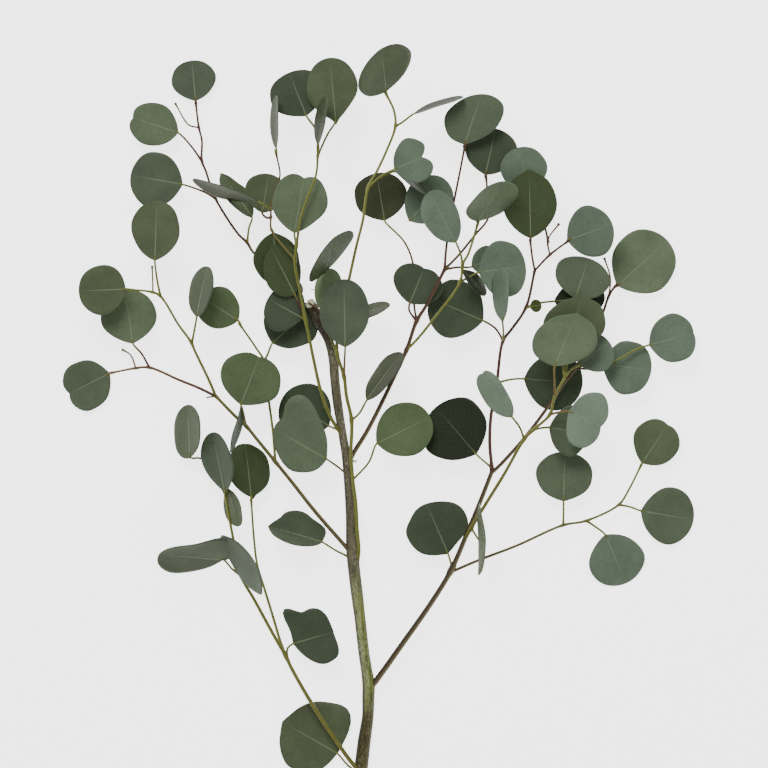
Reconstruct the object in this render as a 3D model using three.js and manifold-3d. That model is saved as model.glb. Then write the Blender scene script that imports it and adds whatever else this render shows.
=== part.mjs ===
// A cut branch of silver-dollar eucalyptus, lying on a table.
// Millimetres, +Z up. The table is the plane z = 0 and the branch grows along +Y.
// Every place is a point [x, y, z] on the branch as it lies; a leaf's tip is given
// in plan, [x, y], and its height follows from how steeply the blade rises.
import * as THREE from "three";
import { mergeVertices } from "three/addons/utils/BufferGeometryUtils.js";
import Module from "manifold-3d";

const wasm = await Module();
wasm.setup();

// Blades
const BLADE_THICKNESS = 0.7;
const BLADE_ROWS = 5;
const BASE_TAPER = 0.3;
const NOTCH_SPREAD = 0.6;
const USUAL_FOLD = 5;
const USUAL_BEND = 0.03;

// Petioles and twigs
const PETIOLE_ROOT_RADIUS = 0.9;
const PETIOLE_END_RADIUS = 0.7;
const PETIOLE_SUNK = 5;
const PETIOLE_SIDES = 3;
const PETIOLE_STEP = 24;
const TWIG_SIDES = 4;
const TWIG_STEP = 26;

// Main stem
const STEM_SIDES = 10;
const STEM_STEP = 24;
const HEEL_Y = -308.8;
const HEEL_CUT_SLANT = 24;
const STUB_CUT_SLANT = -38;
const CUTTER = 140;

// Gap between a stem and what grows from it as a separate solid
const SEAT_GAP = 0.35;

const LEAF_GREEN = 0x5d6b55;
const LEAF_DARK = 0x434d39;
const STEM_OLIVE = 0x6f7052;

// The main stem: centre line and radius, from the cut heel to the pruned top
const STEM = [
  { at: [-19.4, -322, 5.0], radius: 5.6 },
  { at: [-16.5, -290, 5.0], radius: 5.6 },
  { at: [-14, -268, 5.3], radius: 5.5 },
  { at: [-11.9, -250, 6.2], radius: 5.3 },
  { at: [-9, -230, 7.4], radius: 4.7 },
  { at: [-8.6, -215, 8.3], radius: 5.0 },
  { at: [-8.4, -204, 9], radius: 5.2 },
  { at: [-9.8, -194, 9.7], radius: 4.6 },
  { at: [-12, -180, 10.6], radius: 4.5 },
  { at: [-15.4, -150, 12.6], radius: 4.5 },
  { at: [-17.4, -134, 13.6], radius: 4.9 },
  { at: [-20, -112, 15], radius: 4.9 },
  { at: [-21.5, -96, 16], radius: 5.0 },
  { at: [-22.5, -70, 17.5], radius: 4.2 },
  { at: [-24, -45, 19], radius: 4.0 },
  { at: [-26.5, -20, 20.5], radius: 3.6 },
  { at: [-29.8, 0, 22], radius: 3.4 },
  { at: [-33, 20, 24], radius: 3.8 },
  { at: [-35.3, 40, 26], radius: 3.8 },
  { at: [-37, 60, 28], radius: 4.0 },
  { at: [-40.5, 72, 29], radius: 3.2 },
  { at: [-43.5, 80, 30], radius: 2.9 },
  { at: [-47.5, 90, 31], radius: 2.8 },
  { at: [-52, 98, 32], radius: 2.7 },
  { at: [-60, 106, 33], radius: 2.6 },
];

// The spray at the lower left
const LOW_LEFT_TWIG = {
  route: [
    [-13, -277, 7],
    [-22, -267, 9],
    [-30, -256, 10.5],
    [-50, -226, 13],
    [-70, -191.5, 15],
    [-74.5, -182, 16],
    [-85, -163.5, 18],
    [-100, -136, 21],
    [-110.5, -117, 23],
    [-114.5, -98, 24.5],
    [-118.5, -78, 26],
    [-123, -52, 28],
  ],
  root: 1.7,
  end: 0.9,
};
const LOW_LEFT = {
  twigs: [
    LOW_LEFT_TWIG,
    {
      route: [
        [-74.5, -182, 16],
        [-79, -170, 15],
        [-85, -150, 15],
        [-92, -127, 15],
        [-97.5, -109, 15.5],
        [-100, -90, 16.5],
        [-102.5, -56, 18.5],
      ],
      root: 1.1,
      end: 0.7,
    },
  ],
  leaves: [
    {
      from: [-74, -181, 16],
      via: [[-73.3, -175, 16.5]],
      base: [-69, -171.5, 17],
      tip: [-34, -160],
      width: 48,
      rise: 4,
      fold: 12,
      skew: 0.2,
    },
    {
      from: [-110.5, -117, 23],
      via: [[-118, -111, 25]],
      base: [-124.5, -106, 27],
      tip: [-177, -104],
      width: 46,
      roll: 56,
    },
    {
      from: [-112, -113, 23],
      base: [-115, -110, 27],
      tip: [-101, -101],
      width: 58,
      rise: 68,
    },
    {
      from: [-122.5, -54, 28],
      base: [-121.5, -56, 27],
      tip: [-113.5, -77.5],
      width: 34,
      rise: -28,
      roll: 50,
    },
    {
      from: [-123, -52.5, 28],
      base: [-123, -50, 33],
      tip: [-134, -2],
      width: 44,
      rise: 4,
      roll: 56,
    },
    {
      from: [-122.5, -53, 28],
      via: [
        [-131, -38, 15],
        [-142, -23, 17],
      ],
      base: [-149, -20, 20],
      tip: [-151.5, 21],
      width: 38,
      roll: 58,
    },
    {
      from: [-102.5, -57, 18.5],
      base: [-102.5, -54, 18.5],
      tip: [-105, -10],
      width: 33,
      rise: -4,
      roll: -25,
      notch: 0.1,
    },
  ],
};

// The broad leaf low on the stem
const HEEL_LEAF = {
  leaves: [
    {
      from: [-15, -277, 4],
      via: [[-25, -269.5, 3.6]],
      base: [-33.5, -260, 3.2],
      tip: [-75, -228],
      width: 58,
      rise: -3,
      fold: 3,
      bend: 0,
    },
  ],
};

// Single leaves that grow straight from the stem
const STEM_LEAF_LEFT = {
  leaves: [
    {
      from: [-24, -102, 14],
      via: [[-35, -96.5, 15]],
      base: [-44.5, -90, 17],
      tip: [-88.5, -77],
      width: 44,
      roll: -42,
      fold: 25,
    },
  ],
};
const STEM_LEAF_BIG = {
  leaves: [
    {
      from: [-24, -37, 20],
      via: [[-33, -29.5, 28]],
      base: [-41.5, -23.5, 33],
      tip: [-79, 3],
      width: 58,
      rise: 4,
      notch: 0.08,
      skew: 0.22,
    },
  ],
};
const STEM_LEAF_RIGHT = {
  leaves: [
    {
      from: [-23, -42, 19],
      via: [[-8, -25.6, 24]],
      base: [-2, -11, 27],
      tip: [41, 10.5],
      width: 44,
      rise: 4,
    },
  ],
};
const STEM_LEAF_DARK = {
  leaves: [
    {
      from: [-29.5, -1, 20],
      base: [-39, 4, 16],
      tip: [-74, 28],
      width: 42,
      rise: -3,
    },
  ],
};

// The spray at the left
const LEFT = {
  twigs: [
    {
      route: [
        [-22, -99, 16],
        [-53, -66, 21],
        [-72, -42, 24],
        [-97, -10, 28],
        [-107, 3, 30],
        [-115, 11, 31],
        [-130.5, 27, 33],
      ],
      root: 1.6,
      end: 1.1,
    },
    {
      route: [
        [-130.5, 27, 33],
        [-145, 34, 31],
        [-160, 40, 28],
        [-184, 50, 22],
        [-195, 49.5, 18],
        [-216, 45.5, 9.2],
      ],
      root: 1.1,
      end: 0.7,
    },
    {
      route: [
        [-195, 49.5, 18],
        [-199, 60, 20],
        [-206, 64.5, 22],
      ],
      root: 0.6,
      end: 0.5,
    },
    {
      route: [
        [-130.5, 27, 33],
        [-136, 40, 37],
        [-147, 63, 42],
        [-150, 70, 43],
        [-160, 84, 45],
        [-174.5, 107, 48],
        [-180.5, 110, 48],
        [-202, 112.5, 48],
      ],
      root: 1.1,
      end: 0.7,
    },
    {
      route: [
        [-180.5, 110, 48],
        [-180.5, 118, 50],
        [-181, 131, 53],
      ],
      root: 0.6,
      end: 0.5,
    },
    {
      route: [
        [-84, -27, 26],
        [-85, -1, 24],
        [-88.5, 25, 22],
        [-92, 55, 22],
        [-98, 65, 23],
        [-112.5, 86, 26],
      ],
      root: 1.0,
      end: 0.7,
    },
  ],
  leaves: [
    {
      from: [-214, 46, 9.9],
      base: [-216, 45.5, 9.2],
      tip: [-250, 28],
      width: 40,
      rise: -12,
      notch: 0.05,
    },
    {
      from: [-184, 50, 22],
      via: [[-190, 61, 25]],
      base: [-193.5, 71, 26],
      tip: [-200, 114],
      width: 43,
    },
    {
      from: [-149.5, 69.5, 43],
      via: [[-147.3, 80, 46]],
      base: [-146.5, 90, 49],
      tip: [-139, 131],
      width: 36,
      roll: 60,
    },
    {
      from: [-200, 112.3, 48],
      base: [-202, 112.5, 48],
      tip: [-241, 110.5],
      width: 40,
      rise: -4,
    },
    {
      from: [-174.5, 107, 48],
      via: [[-177, 120, 51]],
      base: [-180, 136, 54],
      tip: [-180, 184],
      width: 38.5,
      rise: -3,
    },
    {
      from: [-106.5, 3, 30],
      via: [[-108.5, 10, 34]],
      base: [-110, 20, 36],
      tip: [-94, 59],
      width: 46,
      rise: 2,
      notch: 0.06,
    },
    {
      from: [-106.5, 3, 30],
      via: [[-108, 12, 41]],
      base: [-110, 19, 50],
      tip: [-117.5, -18],
      width: 34,
      roll: 84,
    },
    {
      from: [-111, 84, 25.7],
      base: [-112.5, 86.5, 26],
      tip: [-142, 106],
      width: 32,
      rise: 3,
    },
    {
      from: [-92, 55, 22],
      via: [[-89, 61, 22.5]],
      base: [-85.5, 69.5, 24],
      tip: [-54, 87],
      width: 33,
      rise: 2,
    },
  ],
};

// The spray at the upper left
const UPPER_LEFT_TWIG = {
  route: [
    [-29.5, -4, 23],
    [-34, 2, 26],
    [-40, 13, 29],
    [-46.5, 31, 33],
    [-52, 55, 38],
    [-55, 70, 41],
    [-58, 85, 44],
    [-63, 110, 48],
    [-67, 133, 52],
    [-66, 145, 54],
    [-62, 170, 58],
    [-55, 190, 60],
    [-50, 204, 61],
    [-48.5, 227, 65],
  ],
  root: 1.6,
  end: 0.8,
};
const UPPER_LEFT = {
  twigs: [
    UPPER_LEFT_TWIG,
    {
      route: [
        [-67, 136, 52.5],
        [-76, 146, 50],
        [-86, 160, 47],
        [-86.3, 170, 47],
        [-86, 180, 47],
        [-84, 188, 48],
        [-79, 203, 50],
        [-81, 216, 51],
        [-83, 224, 52],
      ],
      root: 0.9,
      end: 0.7,
    },
  ],
  leaves: [
    {
      from: [-58.5, 87, 44],
      base: [-61, 89, 40],
      tip: [-89, 100],
      width: 33,
    },
    {
      from: [-59.5, 92, 45],
      via: [[-64, 101, 44]],
      base: [-66, 109, 44],
      tip: [-91, 139],
      width: 40,
      rise: -2,
    },
    {
      from: [-86, 160, 47],
      base: [-85.5, 158, 44],
      tip: [-81, 117],
      width: 37,
      rise: -14,
    },
    {
      from: [-66, 147, 54],
      base: [-67, 157, 50],
      tip: [-57.5, 203],
      width: 45,
      notch: 0.09,
    },
    {
      from: [-48.6, 225, 65],
      base: [-48.5, 227, 67],
      tip: [-46, 266],
      width: 36,
      roll: 80,
    },
    {
      from: [-48.6, 226, 65],
      via: [[-50, 239, 50]],
      base: [-58, 251, 40],
      tip: [-72, 288],
      width: 44,
      rise: -6,
    },
    {
      from: [-49, 218, 63],
      via: [[-41, 236, 50]],
      base: [-34.5, 247, 46],
      tip: [-46, 298],
      width: 42,
      rise: -2,
    },
    {
      from: [-86, 176, 47],
      base: [-96, 181, 52],
      tip: [-149, 197.5],
      width: 40,
      rise: 3,
      roll: 81,
    },
    {
      from: [-86, 183, 47.5],
      via: [[-91, 184, 40]],
      base: [-96, 179, 37],
      tip: [-89, 207],
      width: 33,
      rise: -3,
    },
    {
      from: [-82, 220, 51.5],
      base: [-83, 224, 52],
      tip: [-85.5, 266],
      width: 36,
      roll: 83,
    },
  ],
};

// The shoot that hangs out to the far left
const FAR_LEFT = {
  twigs: [
    {
      route: [
        [-62, 110, 48],
        [-61.6, 113, 41],
        [-65, 119, 34],
        [-70, 124, 30.5],
        [-80, 131, 28.5],
        [-100.5, 142, 28],
        [-105.5, 150, 29],
        [-112, 156, 28],
        [-131, 185.5, 24],
        [-139, 208, 20],
        [-142, 215.5, 19],
        [-142, 232, 16],
        [-144.5, 242.5, 14],
        [-147.2, 263, 7.3],
      ],
      root: 1.1,
      end: 0.7,
    },
    {
      route: [
        [-144.5, 242.5, 14],
        [-152.5, 244.5, 16],
        [-163.5, 262, 21],
      ],
      root: 0.6,
      end: 0.5,
    },
  ],
  leaves: [
    {
      from: [-147, 262, 7.6],
      base: [-147.2, 264, 7.3],
      tip: [-150.5, 297],
      width: 36,
      rise: -10,
    },
    {
      from: [-142, 215.5, 19],
      via: [[-151, 228, 20]],
      base: [-161.5, 236.5, 20],
      tip: [-200, 250],
      width: 33,
      rise: -4,
      notch: 0.06,
    },
    {
      from: [-131, 185.5, 24],
      via: [[-141, 191, 27]],
      base: [-158.5, 195.5, 28],
      tip: [-200.5, 202],
      width: 43,
    },
    {
      from: [-105.5, 150, 29],
      via: [[-104, 162, 30]],
      base: [-101.5, 170, 30],
      tip: [-126, 205],
      width: 30,
      rise: -4,
    },
  ],
};

// The tall spray in the middle
const UPPER_MID = {
  twigs: [
    {
      route: [
        [-17.5, -108, 16],
        [-16.3, -96, 19.7],
        [-17.6, -80, 21.7],
        [-18.6, -60, 23],
        [-21, -40, 24.5],
        [-22.5, -20, 26],
        [-22, 8, 28],
        [-26, 27, 33],
        [-28, 43, 37],
        [-33.5, 61, 42],
        [-33.5, 71, 43],
        [-30, 95, 44],
        [-24, 120, 46],
        [-18, 147, 46],
        [-13, 167, 47],
        [-8.5, 194, 48],
        [-2, 206, 47],
        [6, 223, 46],
        [13, 242.5, 45],
        [12, 255, 45],
        [4.3, 271, 45],
      ],
      root: 1.5,
      end: 0.8,
    },
    {
      route: [
        [-33.5, 61, 42],
        [-40, 77, 40.5],
        [-48, 96, 40],
        [-56.5, 101.5, 40],
      ],
      root: 0.9,
      end: 0.7,
    },
  ],
  leaves: [
    {
      from: [-22, 8, 28],
      via: [[-16, 13, 31]],
      base: [-9, 24.5, 34],
      tip: [17.5, 64],
      width: 36,
      roll: 70,
    },
    {
      from: [-28, 43, 37],
      via: [[-27.5, 55, 44]],
      base: [-27, 67, 50],
      tip: [-27.5, 122],
      width: 39,
      rise: 2,
    },
    {
      from: [-46, 91, 40],
      base: [-45, 93, 42],
      tip: [-40, 129],
      width: 24,
      rise: 5,
    },
    {
      from: [-29, 98, 44],
      via: [[-37, 112, 41]],
      base: [-43, 126, 44],
      tip: [-36, 151],
      width: 54,
      rise: 58,
      roll: -62,
    },
    {
      from: [-31, 88, 43.6],
      base: [-24, 88, 40],
      tip: [8.5, 102.5],
      width: 32,
      roll: 62,
    },
    {
      from: [6, 268, 45],
      base: [4.3, 271, 45],
      tip: [-1, 301],
      width: 60,
      rise: 54,
      roll: -44,
    },
    {
      from: [13, 242.5, 45],
      via: [[19, 246, 47]],
      base: [27, 252.5, 49],
      tip: [67, 268],
      width: 34,
      roll: 82,
    },
    {
      from: [-8.5, 194, 48],
      via: [[2, 203, 50]],
      base: [11.5, 208.5, 52],
      tip: [40, 221.5],
      width: 36,
      notch: 0.24,
    },
    {
      from: [1, 202, 49.7],
      base: [13, 206.5, 45],
      tip: [41, 188],
      width: 30,
      rise: -18,
      roll: 80,
    },
  ],
};

// The spray at the upper right
const UPPER_RIGHT = {
  twigs: [
    {
      route: [
        [-24, -26, 20.5],
        [-20, -18, 22],
        [-9, 0, 25],
        [10, 38, 31],
        [22, 64, 34],
        [30, 87, 35.5],
        [38, 100, 37],
        [52.5, 128.5, 41],
      ],
      root: 1.8,
      end: 1.1,
    },
    {
      route: [
        [52.5, 128.5, 41],
        [53.5, 143, 38],
        [57, 168, 34],
        [60, 183, 33],
        [64, 203, 36],
        [68.8, 228, 42],
      ],
      root: 0.9,
      end: 0.7,
    },
    {
      route: [
        [52.5, 128.5, 41],
        [63, 139, 41],
        [76.8, 156, 40],
        [87, 169, 37],
        [87, 185, 33],
        [85.6, 204, 32],
      ],
      root: 0.9,
      end: 0.7,
    },
    {
      route: [
        [22, 64, 34],
        [30, 72, 37],
        [43, 88, 42],
        [64.8, 118.4, 49],
        [67, 133, 50],
        [71, 140, 50],
        [79.5, 167, 50],
      ],
      root: 1.0,
      end: 0.8,
    },
  ],
  leaves: [
    {
      from: [30, 87, 35.5],
      via: [[24, 96, 33]],
      base: [25, 101, 32],
      tip: [39.5, 132],
      width: 37,
      notch: 0.07,
    },
    {
      from: [30, 87.5, 35.5],
      via: [
        [28, 101, 27],
        [27, 134, 25],
        [20, 151, 24],
      ],
      base: [4.5, 167.5, 23],
      tip: [-2.5, 206],
      width: 39.5,
      rise: -4,
    },
    {
      from: [55.5, 160, 35],
      via: [[38, 171, 20]],
      base: [25.5, 167.5, 23],
      tip: [57, 202],
      width: 38,
    },
    {
      from: [66.6, 131, 50],
      via: [[65.3, 140, 51]],
      base: [62.5, 149.5, 52],
      tip: [40, 190],
      width: 38,
      roll: 42,
    },
    {
      from: [68, 226, 41.5],
      base: [68.8, 228, 42],
      tip: [84.5, 269],
      width: 42,
      rise: 2,
      skew: 0.35,
    },
    {
      from: [85.6, 202, 32],
      base: [85.5, 204, 32],
      tip: [96, 242],
      width: 42,
      rise: -5,
    },
    {
      from: [79, 165, 50],
      base: [79.5, 167.5, 50],
      tip: [95, 190],
      width: 58,
      rise: 55,
      roll: -67,
    },
    {
      from: [64.8, 118.4, 49],
      via: [[72, 122, 42]],
      base: [79.5, 126, 36],
      tip: [117.5, 131],
      width: 47,
    },
    {
      from: [66.5, 130, 50],
      base: [67, 128, 43],
      tip: [85.5, 108],
      width: 28,
      roll: 68,
    },
    {
      from: [53, 128.5, 41],
      via: [[62, 130, 38]],
      base: [74, 130.5, 29],
      tip: [98, 140],
      width: 24,
    },
  ],
};

// The spray at the right, with the low side shoot
const RIGHT_TWIG = {
  route: [
    [-8, -208, 9.5],
    [-2.5, -201.5, 11],
    [20, -170, 13.5],
    [40, -141.5, 16],
    [57, -114, 18.5],
    [71, -82, 22],
    [82, -55, 25],
    [90.3, -33.5, 27.5],
  ],
  root: 2.4,
  end: 1.6,
};
const RIGHT = {
  twigs: [
    RIGHT_TWIG,
    {
      route: [
        [57.5, -114, 18.5],
        [81, -104, 18],
        [110, -93, 16],
        [147.5, -76.5, 13.5],
        [166, -73, 12],
        [192.5, -60, 10],
        [200, -49, 9],
        [211, -27, 9],
      ],
      root: 1.1,
      end: 0.7,
    },
  ],
  leaves: [
    {
      from: [58.5, -110, 19],
      base: [55, -98, 15.5],
      tip: [35.5, -58],
      width: 48,
      roll: -4,
    },
    {
      from: [147.8, -76.5, 13.5],
      via: [[148, -66, 14]],
      base: [148, -57.5, 14],
      tip: [149, -17.5],
      width: 44.5,
      rise: 2,
    },
    {
      from: [166.5, -73, 12],
      via: [[174, -78, 10]],
      base: [180, -86, 8.6],
      tip: [195, -126],
      width: 43,
      rise: -9,
    },
    {
      from: [210, -29, 9],
      base: [211, -27, 9],
      tip: [230, 8],
      width: 37,
      rise: -7,
      notch: 0.04,
    },
    {
      from: [192.5, -60, 10],
      via: [[202, -62, 9]],
      base: [211, -64.5, 8],
      tip: [254, -72],
      width: 46,
      rise: -7,
    },
  ],
};

// The inner shoot of the right spray
const RIGHT_INNER_TWIG = {
  route: [
    [90.3, -34.5, 27.5],
    [90, -27, 28],
    [88.7, -12, 28],
    [89.5, 10, 28],
    [94.3, 38, 29],
    [99.3, 71.5, 32],
    [106, 80.5, 33],
    [117.5, 98, 35],
    [124.5, 127.5, 38],
  ],
  root: 1.3,
  end: 0.9,
};
const RIGHT_INNER = {
  twigs: [
    RIGHT_INNER_TWIG,
    {
      route: [
        [124.5, 127.5, 38],
        [122.5, 138, 39],
        [120.7, 153, 40],
      ],
      root: 0.8,
      end: 0.7,
    },
    {
      route: [
        [124.5, 127.5, 38],
        [136.5, 140, 38],
        [152.5, 152, 38],
      ],
      root: 0.8,
      end: 0.7,
    },
    {
      route: [
        [136.5, 140, 38],
        [135, 152, 40],
        [144, 165, 43],
      ],
      root: 0.6,
      end: 0.5,
    },
  ],
  leaves: [
    {
      from: [90, -30, 28],
      via: [[84, -25, 24]],
      base: [77, -16.5, 21],
      tip: [46, 23],
      width: 51,
      rise: -5,
    },
    {
      from: [95, 38, 29],
      via: [[106, 40.5, 25]],
      base: [117.5, 41, 20],
      tip: [164, 37],
      width: 45,
      rise: -5,
    },
    {
      from: [99.3, 71.5, 32],
      via: [[93, 81.5, 26]],
      base: [82, 88.5, 22],
      tip: [38.5, 108],
      width: 48,
      rise: -5,
    },
    {
      from: [99.3, 71.5, 32],
      via: [[99.3, 79, 44]],
      base: [98.5, 87, 57],
      tip: [96.5, 129.5],
      width: 36,
      roll: 70,
    },
    {
      from: [117.5, 98, 35],
      base: [120.5, 98.5, 36],
      tip: [130, 100],
      width: 10.5,
    },
    {
      from: [117.5, 98, 35],
      via: [[129, 101.7, 32]],
      base: [140, 103, 29],
      tip: [181, 107],
      width: 28,
      rise: -3,
    },
    {
      from: [120.8, 151, 40],
      base: [120.7, 153, 40],
      tip: [119.5, 205],
      width: 43,
      rise: 6,
    },
    {
      from: [135.2, 150, 39.7],
      via: [
        [133, 161, 35],
        [127, 178, 34],
      ],
      base: [121, 190, 34],
      tip: [113, 227],
      width: 37,
      rise: 2,
    },
    {
      from: [151, 151, 38],
      base: [152.5, 152, 38],
      tip: [189.5, 164.5],
      width: 41,
      rise: 2,
    },
  ],
};

// The outer shoot of the right spray
const RIGHT_OUTER_TWIG = {
  route: [
    [89.5, -35, 27.3],
    [97, -28, 28],
    [115, -8, 28],
    [132, 14, 26],
    [147, 36, 24],
    [158.5, 51.5, 22],
    [178.5, 91, 16],
    [185, 109, 13.5],
    [191, 117, 10.8],
  ],
  root: 1.4,
  end: 0.8,
};
const RIGHT_OUTER = {
  twigs: [
    RIGHT_OUTER_TWIG,
    {
      route: [
        [184.5, 108, 13.7],
        [185.5, 122, 15],
        [180.5, 138, 18],
      ],
      root: 0.6,
      end: 0.5,
    },
  ],
  leaves: [
    {
      from: [190, 115.5, 11.2],
      base: [191.5, 117.5, 10.8],
      tip: [231.5, 155],
      width: 49,
      rise: -9,
    },
    {
      from: [157, 49.5, 22.3],
      via: [[168, 49, 20.5]],
      base: [178, 50, 19],
      tip: [218, 50],
      width: 43,
      rise: -2,
    },
    {
      from: [158, 51, 22.1],
      via: [
        [174, 51.5, 27],
        [190.5, 56, 26],
        [206, 64.5, 24],
      ],
      base: [216.5, 69, 22],
      tip: [254, 80],
      width: 39,
      rise: -8,
      notch: 0.07,
    },
  ],
};

// The middle shoot of the right spray
const RIGHT_MID = {
  twigs: [
    {
      route: [
        [69, -87, 22],
        [73.8, -78.5, 26.5],
        [80, -68, 28.5],
        [88, -55, 30.5],
        [100, -35.5, 33.5],
        [116, -7.5, 39],
        [123, 0, 41],
        [136.5, 12.5, 44],
        [140.5, 27.5, 45.5],
        [148.5, 42, 44],
      ],
      root: 1.4,
      end: 0.9,
    },
  ],
  leaves: [
    {
      from: [73.8, -78.5, 26.5],
      base: [77.5, -85, 29],
      tip: [84, -87],
      width: 57,
      rise: 81,
    },
    {
      from: [116, -7.5, 39],
      via: [[112.5, 2, 43]],
      base: [106.5, 10, 48],
      tip: [80.5, 46.5],
      width: 38,
      roll: 60,
      notch: 0.05,
    },
    {
      from: [123, 0, 41],
      via: [[129, 1.5, 36]],
      base: [136, 1.5, 32],
      tip: [168, -2],
      width: 39,
      rise: -5,
    },
    {
      from: [136.5, 12.5, 44],
      via: [[144, 14.3, 46]],
      base: [151.5, 15, 47],
      tip: [182, 5.5],
      width: 47,
      notch: 0.1,
    },
    {
      from: [140.5, 27.5, 45.5],
      via: [[140, 40, 49]],
      base: [141.5, 51, 51],
      tip: [160.5, 94.5],
      width: 50,
      rise: 3,
    },
    {
      from: [148.5, 42, 44],
      via: [[147, 50, 43]],
      base: [149, 60, 42],
      tip: [162, 105.5],
      width: 47,
    },
    {
      from: [148.5, 42, 44],
      via: [
        [152, 65, 36],
        [154, 90, 33],
      ],
      base: [156, 106, 36],
      tip: [167, 140],
      width: 47,
      rise: 3,
    },
    {
      from: [148.5, 42, 44],
      via: [[154, 48.5, 39]],
      base: [161, 52, 36],
      tip: [183.5, 73],
      width: 33,
      rise: -4,
    },
  ],
};

const UP = new THREE.Vector3(0, 0, 1);
const degrees = THREE.MathUtils.degToRad;
const point = (at) => new THREE.Vector3(...at);

// A closed surface as an indexed geometry
function surface(points, faces) {
  const geometry = new THREE.BufferGeometry().setFromPoints(points);
  geometry.setIndex(faces.flat());
  return geometry;
}

// A closed surface as a solid that can be joined and cut
function solidOf(geometry) {
  const bare = geometry.clone();
  bare.deleteAttribute("normal");
  bare.deleteAttribute("uv");
  const merged = mergeVertices(bare);
  return new wasm.Manifold(
    new wasm.Mesh({
      numProp: 3,
      vertProperties: new Float32Array(merged.attributes.position.array),
      triVerts: new Uint32Array(merged.index.array),
    }),
  );
}

const joined = (solids) => solids.reduce((whole, next) => whole.add(next));

// A round, tapering rod along a smooth route, closed at both ends
function rod(route, radii, sides, step) {
  const places = route.map(point);
  const curve = new THREE.CatmullRomCurve3(places, false, "centripetal");
  const spans = places.length - 1;
  const stations = [{ u: 0, radius: radii[0] }];
  for (let span = 0; span < spans; span++) {
    const count = Math.max(1, Math.round(places[span].distanceTo(places[span + 1]) / step));
    for (let part = 1; part <= count; part++) {
      const share = part / count;
      const radius = THREE.MathUtils.lerp(radii[span], radii[span + 1], share);
      stations.push({ u: (span + share) / spans, radius });
    }
  }
  const points = [];
  const across = new THREE.Vector3(1, 0, 0);
  for (const { u, radius } of stations) {
    const centre = curve.getPoint(u);
    const along = curve.getTangent(u);
    across.addScaledVector(along, -across.dot(along)).normalize();
    const third = along.clone().cross(across);
    for (let side = 0; side < sides; side++) {
      const turn = (2 * Math.PI * side) / sides;
      points.push(
        centre
          .clone()
          .addScaledVector(across, radius * Math.cos(turn))
          .addScaledVector(third, radius * Math.sin(turn)),
      );
    }
  }
  const faces = [];
  const last = (stations.length - 1) * sides;
  for (let ring = 0; ring < last; ring += sides) {
    for (let side = 0; side < sides; side++) {
      const next = (side + 1) % sides;
      faces.push([ring + side, ring + next, ring + sides + next]);
      faces.push([ring + side, ring + sides + next, ring + sides + side]);
    }
  }
  for (let side = 1; side < sides - 1; side++) {
    faces.push([0, side + 1, side]);
    faces.push([last, last + side, last + side + 1]);
  }
  return surface(points, faces);
}

// A twig as a solid, thickened and lengthened by grow
function twigSolid({ route, root, end }, grow = 0) {
  const share = (index) => index / (route.length - 1);
  const radii = route.map((_, index) => THREE.MathUtils.lerp(root, end, share(index)) + grow);
  const last = point(route.at(-1));
  const onward = last.clone().sub(point(route.at(-2))).setLength(grow);
  const whole = [...route.slice(0, -1), last.add(onward).toArray()];
  return solidOf(rod(whole, radii, TWIG_SIDES, TWIG_STEP));
}

// A blade's own axes: along the midrib, across to its right, and out of its face
function bladeFrame({ base, tip, rise = 0, roll = 0 }) {
  const start = point(base);
  const plan = new THREE.Vector3(tip[0] - base[0], tip[1] - base[1], 0);
  const length = plan.length() / Math.cos(degrees(rise));
  const level = plan.clone().cross(UP).normalize();
  const along = plan.normalize().applyAxisAngle(level, degrees(rise));
  const across = level.applyAxisAngle(along, -degrees(roll));
  const face = across.clone().cross(along);
  return { start, length, along, across, face };
}

// Half of a blade's outline at an angle from 0 at the base to a half turn at the tip:
// the share of the length from the base, and the share of the half width
function outline(angle, notch) {
  const toTip = Math.max(0, 1 - (Math.PI - angle) / NOTCH_SPREAD);
  const share = (1 - Math.cos(angle)) / 2 - notch * toTip ** 2;
  const spread = Math.sin(angle) * (1 - BASE_TAPER * Math.cos(angle / 2) ** 4);
  return { share, spread };
}

// A leaf blade: two matching faces, a blade's thickness apart, joined by the rim
function blade(leaf) {
  const { width, fold = USUAL_FOLD, bend = USUAL_BEND, notch = 0, skew = 0 } = leaf;
  const { start, length, along, across, face } = bladeFrame(leaf);
  const half = width / 2;
  const place = (share, spread, lift) =>
    start
      .clone()
      .addScaledVector(along, share * length + skew * spread * half)
      .addScaledVector(across, spread * half * Math.cos(degrees(fold)))
      .addScaledVector(face, Math.abs(spread) * half * Math.sin(degrees(fold)))
      .addScaledVector(face, lift - bend * length * share ** 2);
  const shares = [[0, 0]];
  for (let row = 1; row <= BLADE_ROWS; row++) {
    const { share, spread } = outline((Math.PI * row) / (BLADE_ROWS + 1), notch);
    shares.push([share, -spread], [share * (1 - notch), 0], [share, spread]);
  }
  shares.push([1 - notch, 0]);
  const tip = shares.length - 1;
  const left = (row) => 3 * row - 2;
  const upper = [
    [0, left(1) + 2, left(1) + 1],
    [0, left(1) + 1, left(1)],
  ];
  for (let row = 1; row < BLADE_ROWS; row++) {
    for (const near of [left(row), left(row) + 1]) {
      upper.push([near, near + 1, near + 4], [near, near + 4, near + 3]);
    }
  }
  const end = left(BLADE_ROWS);
  upper.push([end, end + 1, tip], [end + 1, end + 2, tip]);
  const rows = Array.from({ length: BLADE_ROWS }, (_, index) => left(index + 1));
  const rim = [0, ...rows.map((at) => at + 2), tip, ...rows.reverse()];
  const below = shares.length;
  const faces = upper.concat(upper.map(([a, b, c]) => [a + below, c + below, b + below]));
  rim.forEach((a, index) => {
    const b = rim[(index + 1) % rim.length];
    faces.push([a, a + below, b + below], [a, b + below, b]);
  });
  const lifted = (lift) => shares.map(([share, spread]) => place(share, spread, lift));
  return surface([...lifted(BLADE_THICKNESS / 2), ...lifted(-BLADE_THICKNESS / 2)], faces);
}

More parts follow.
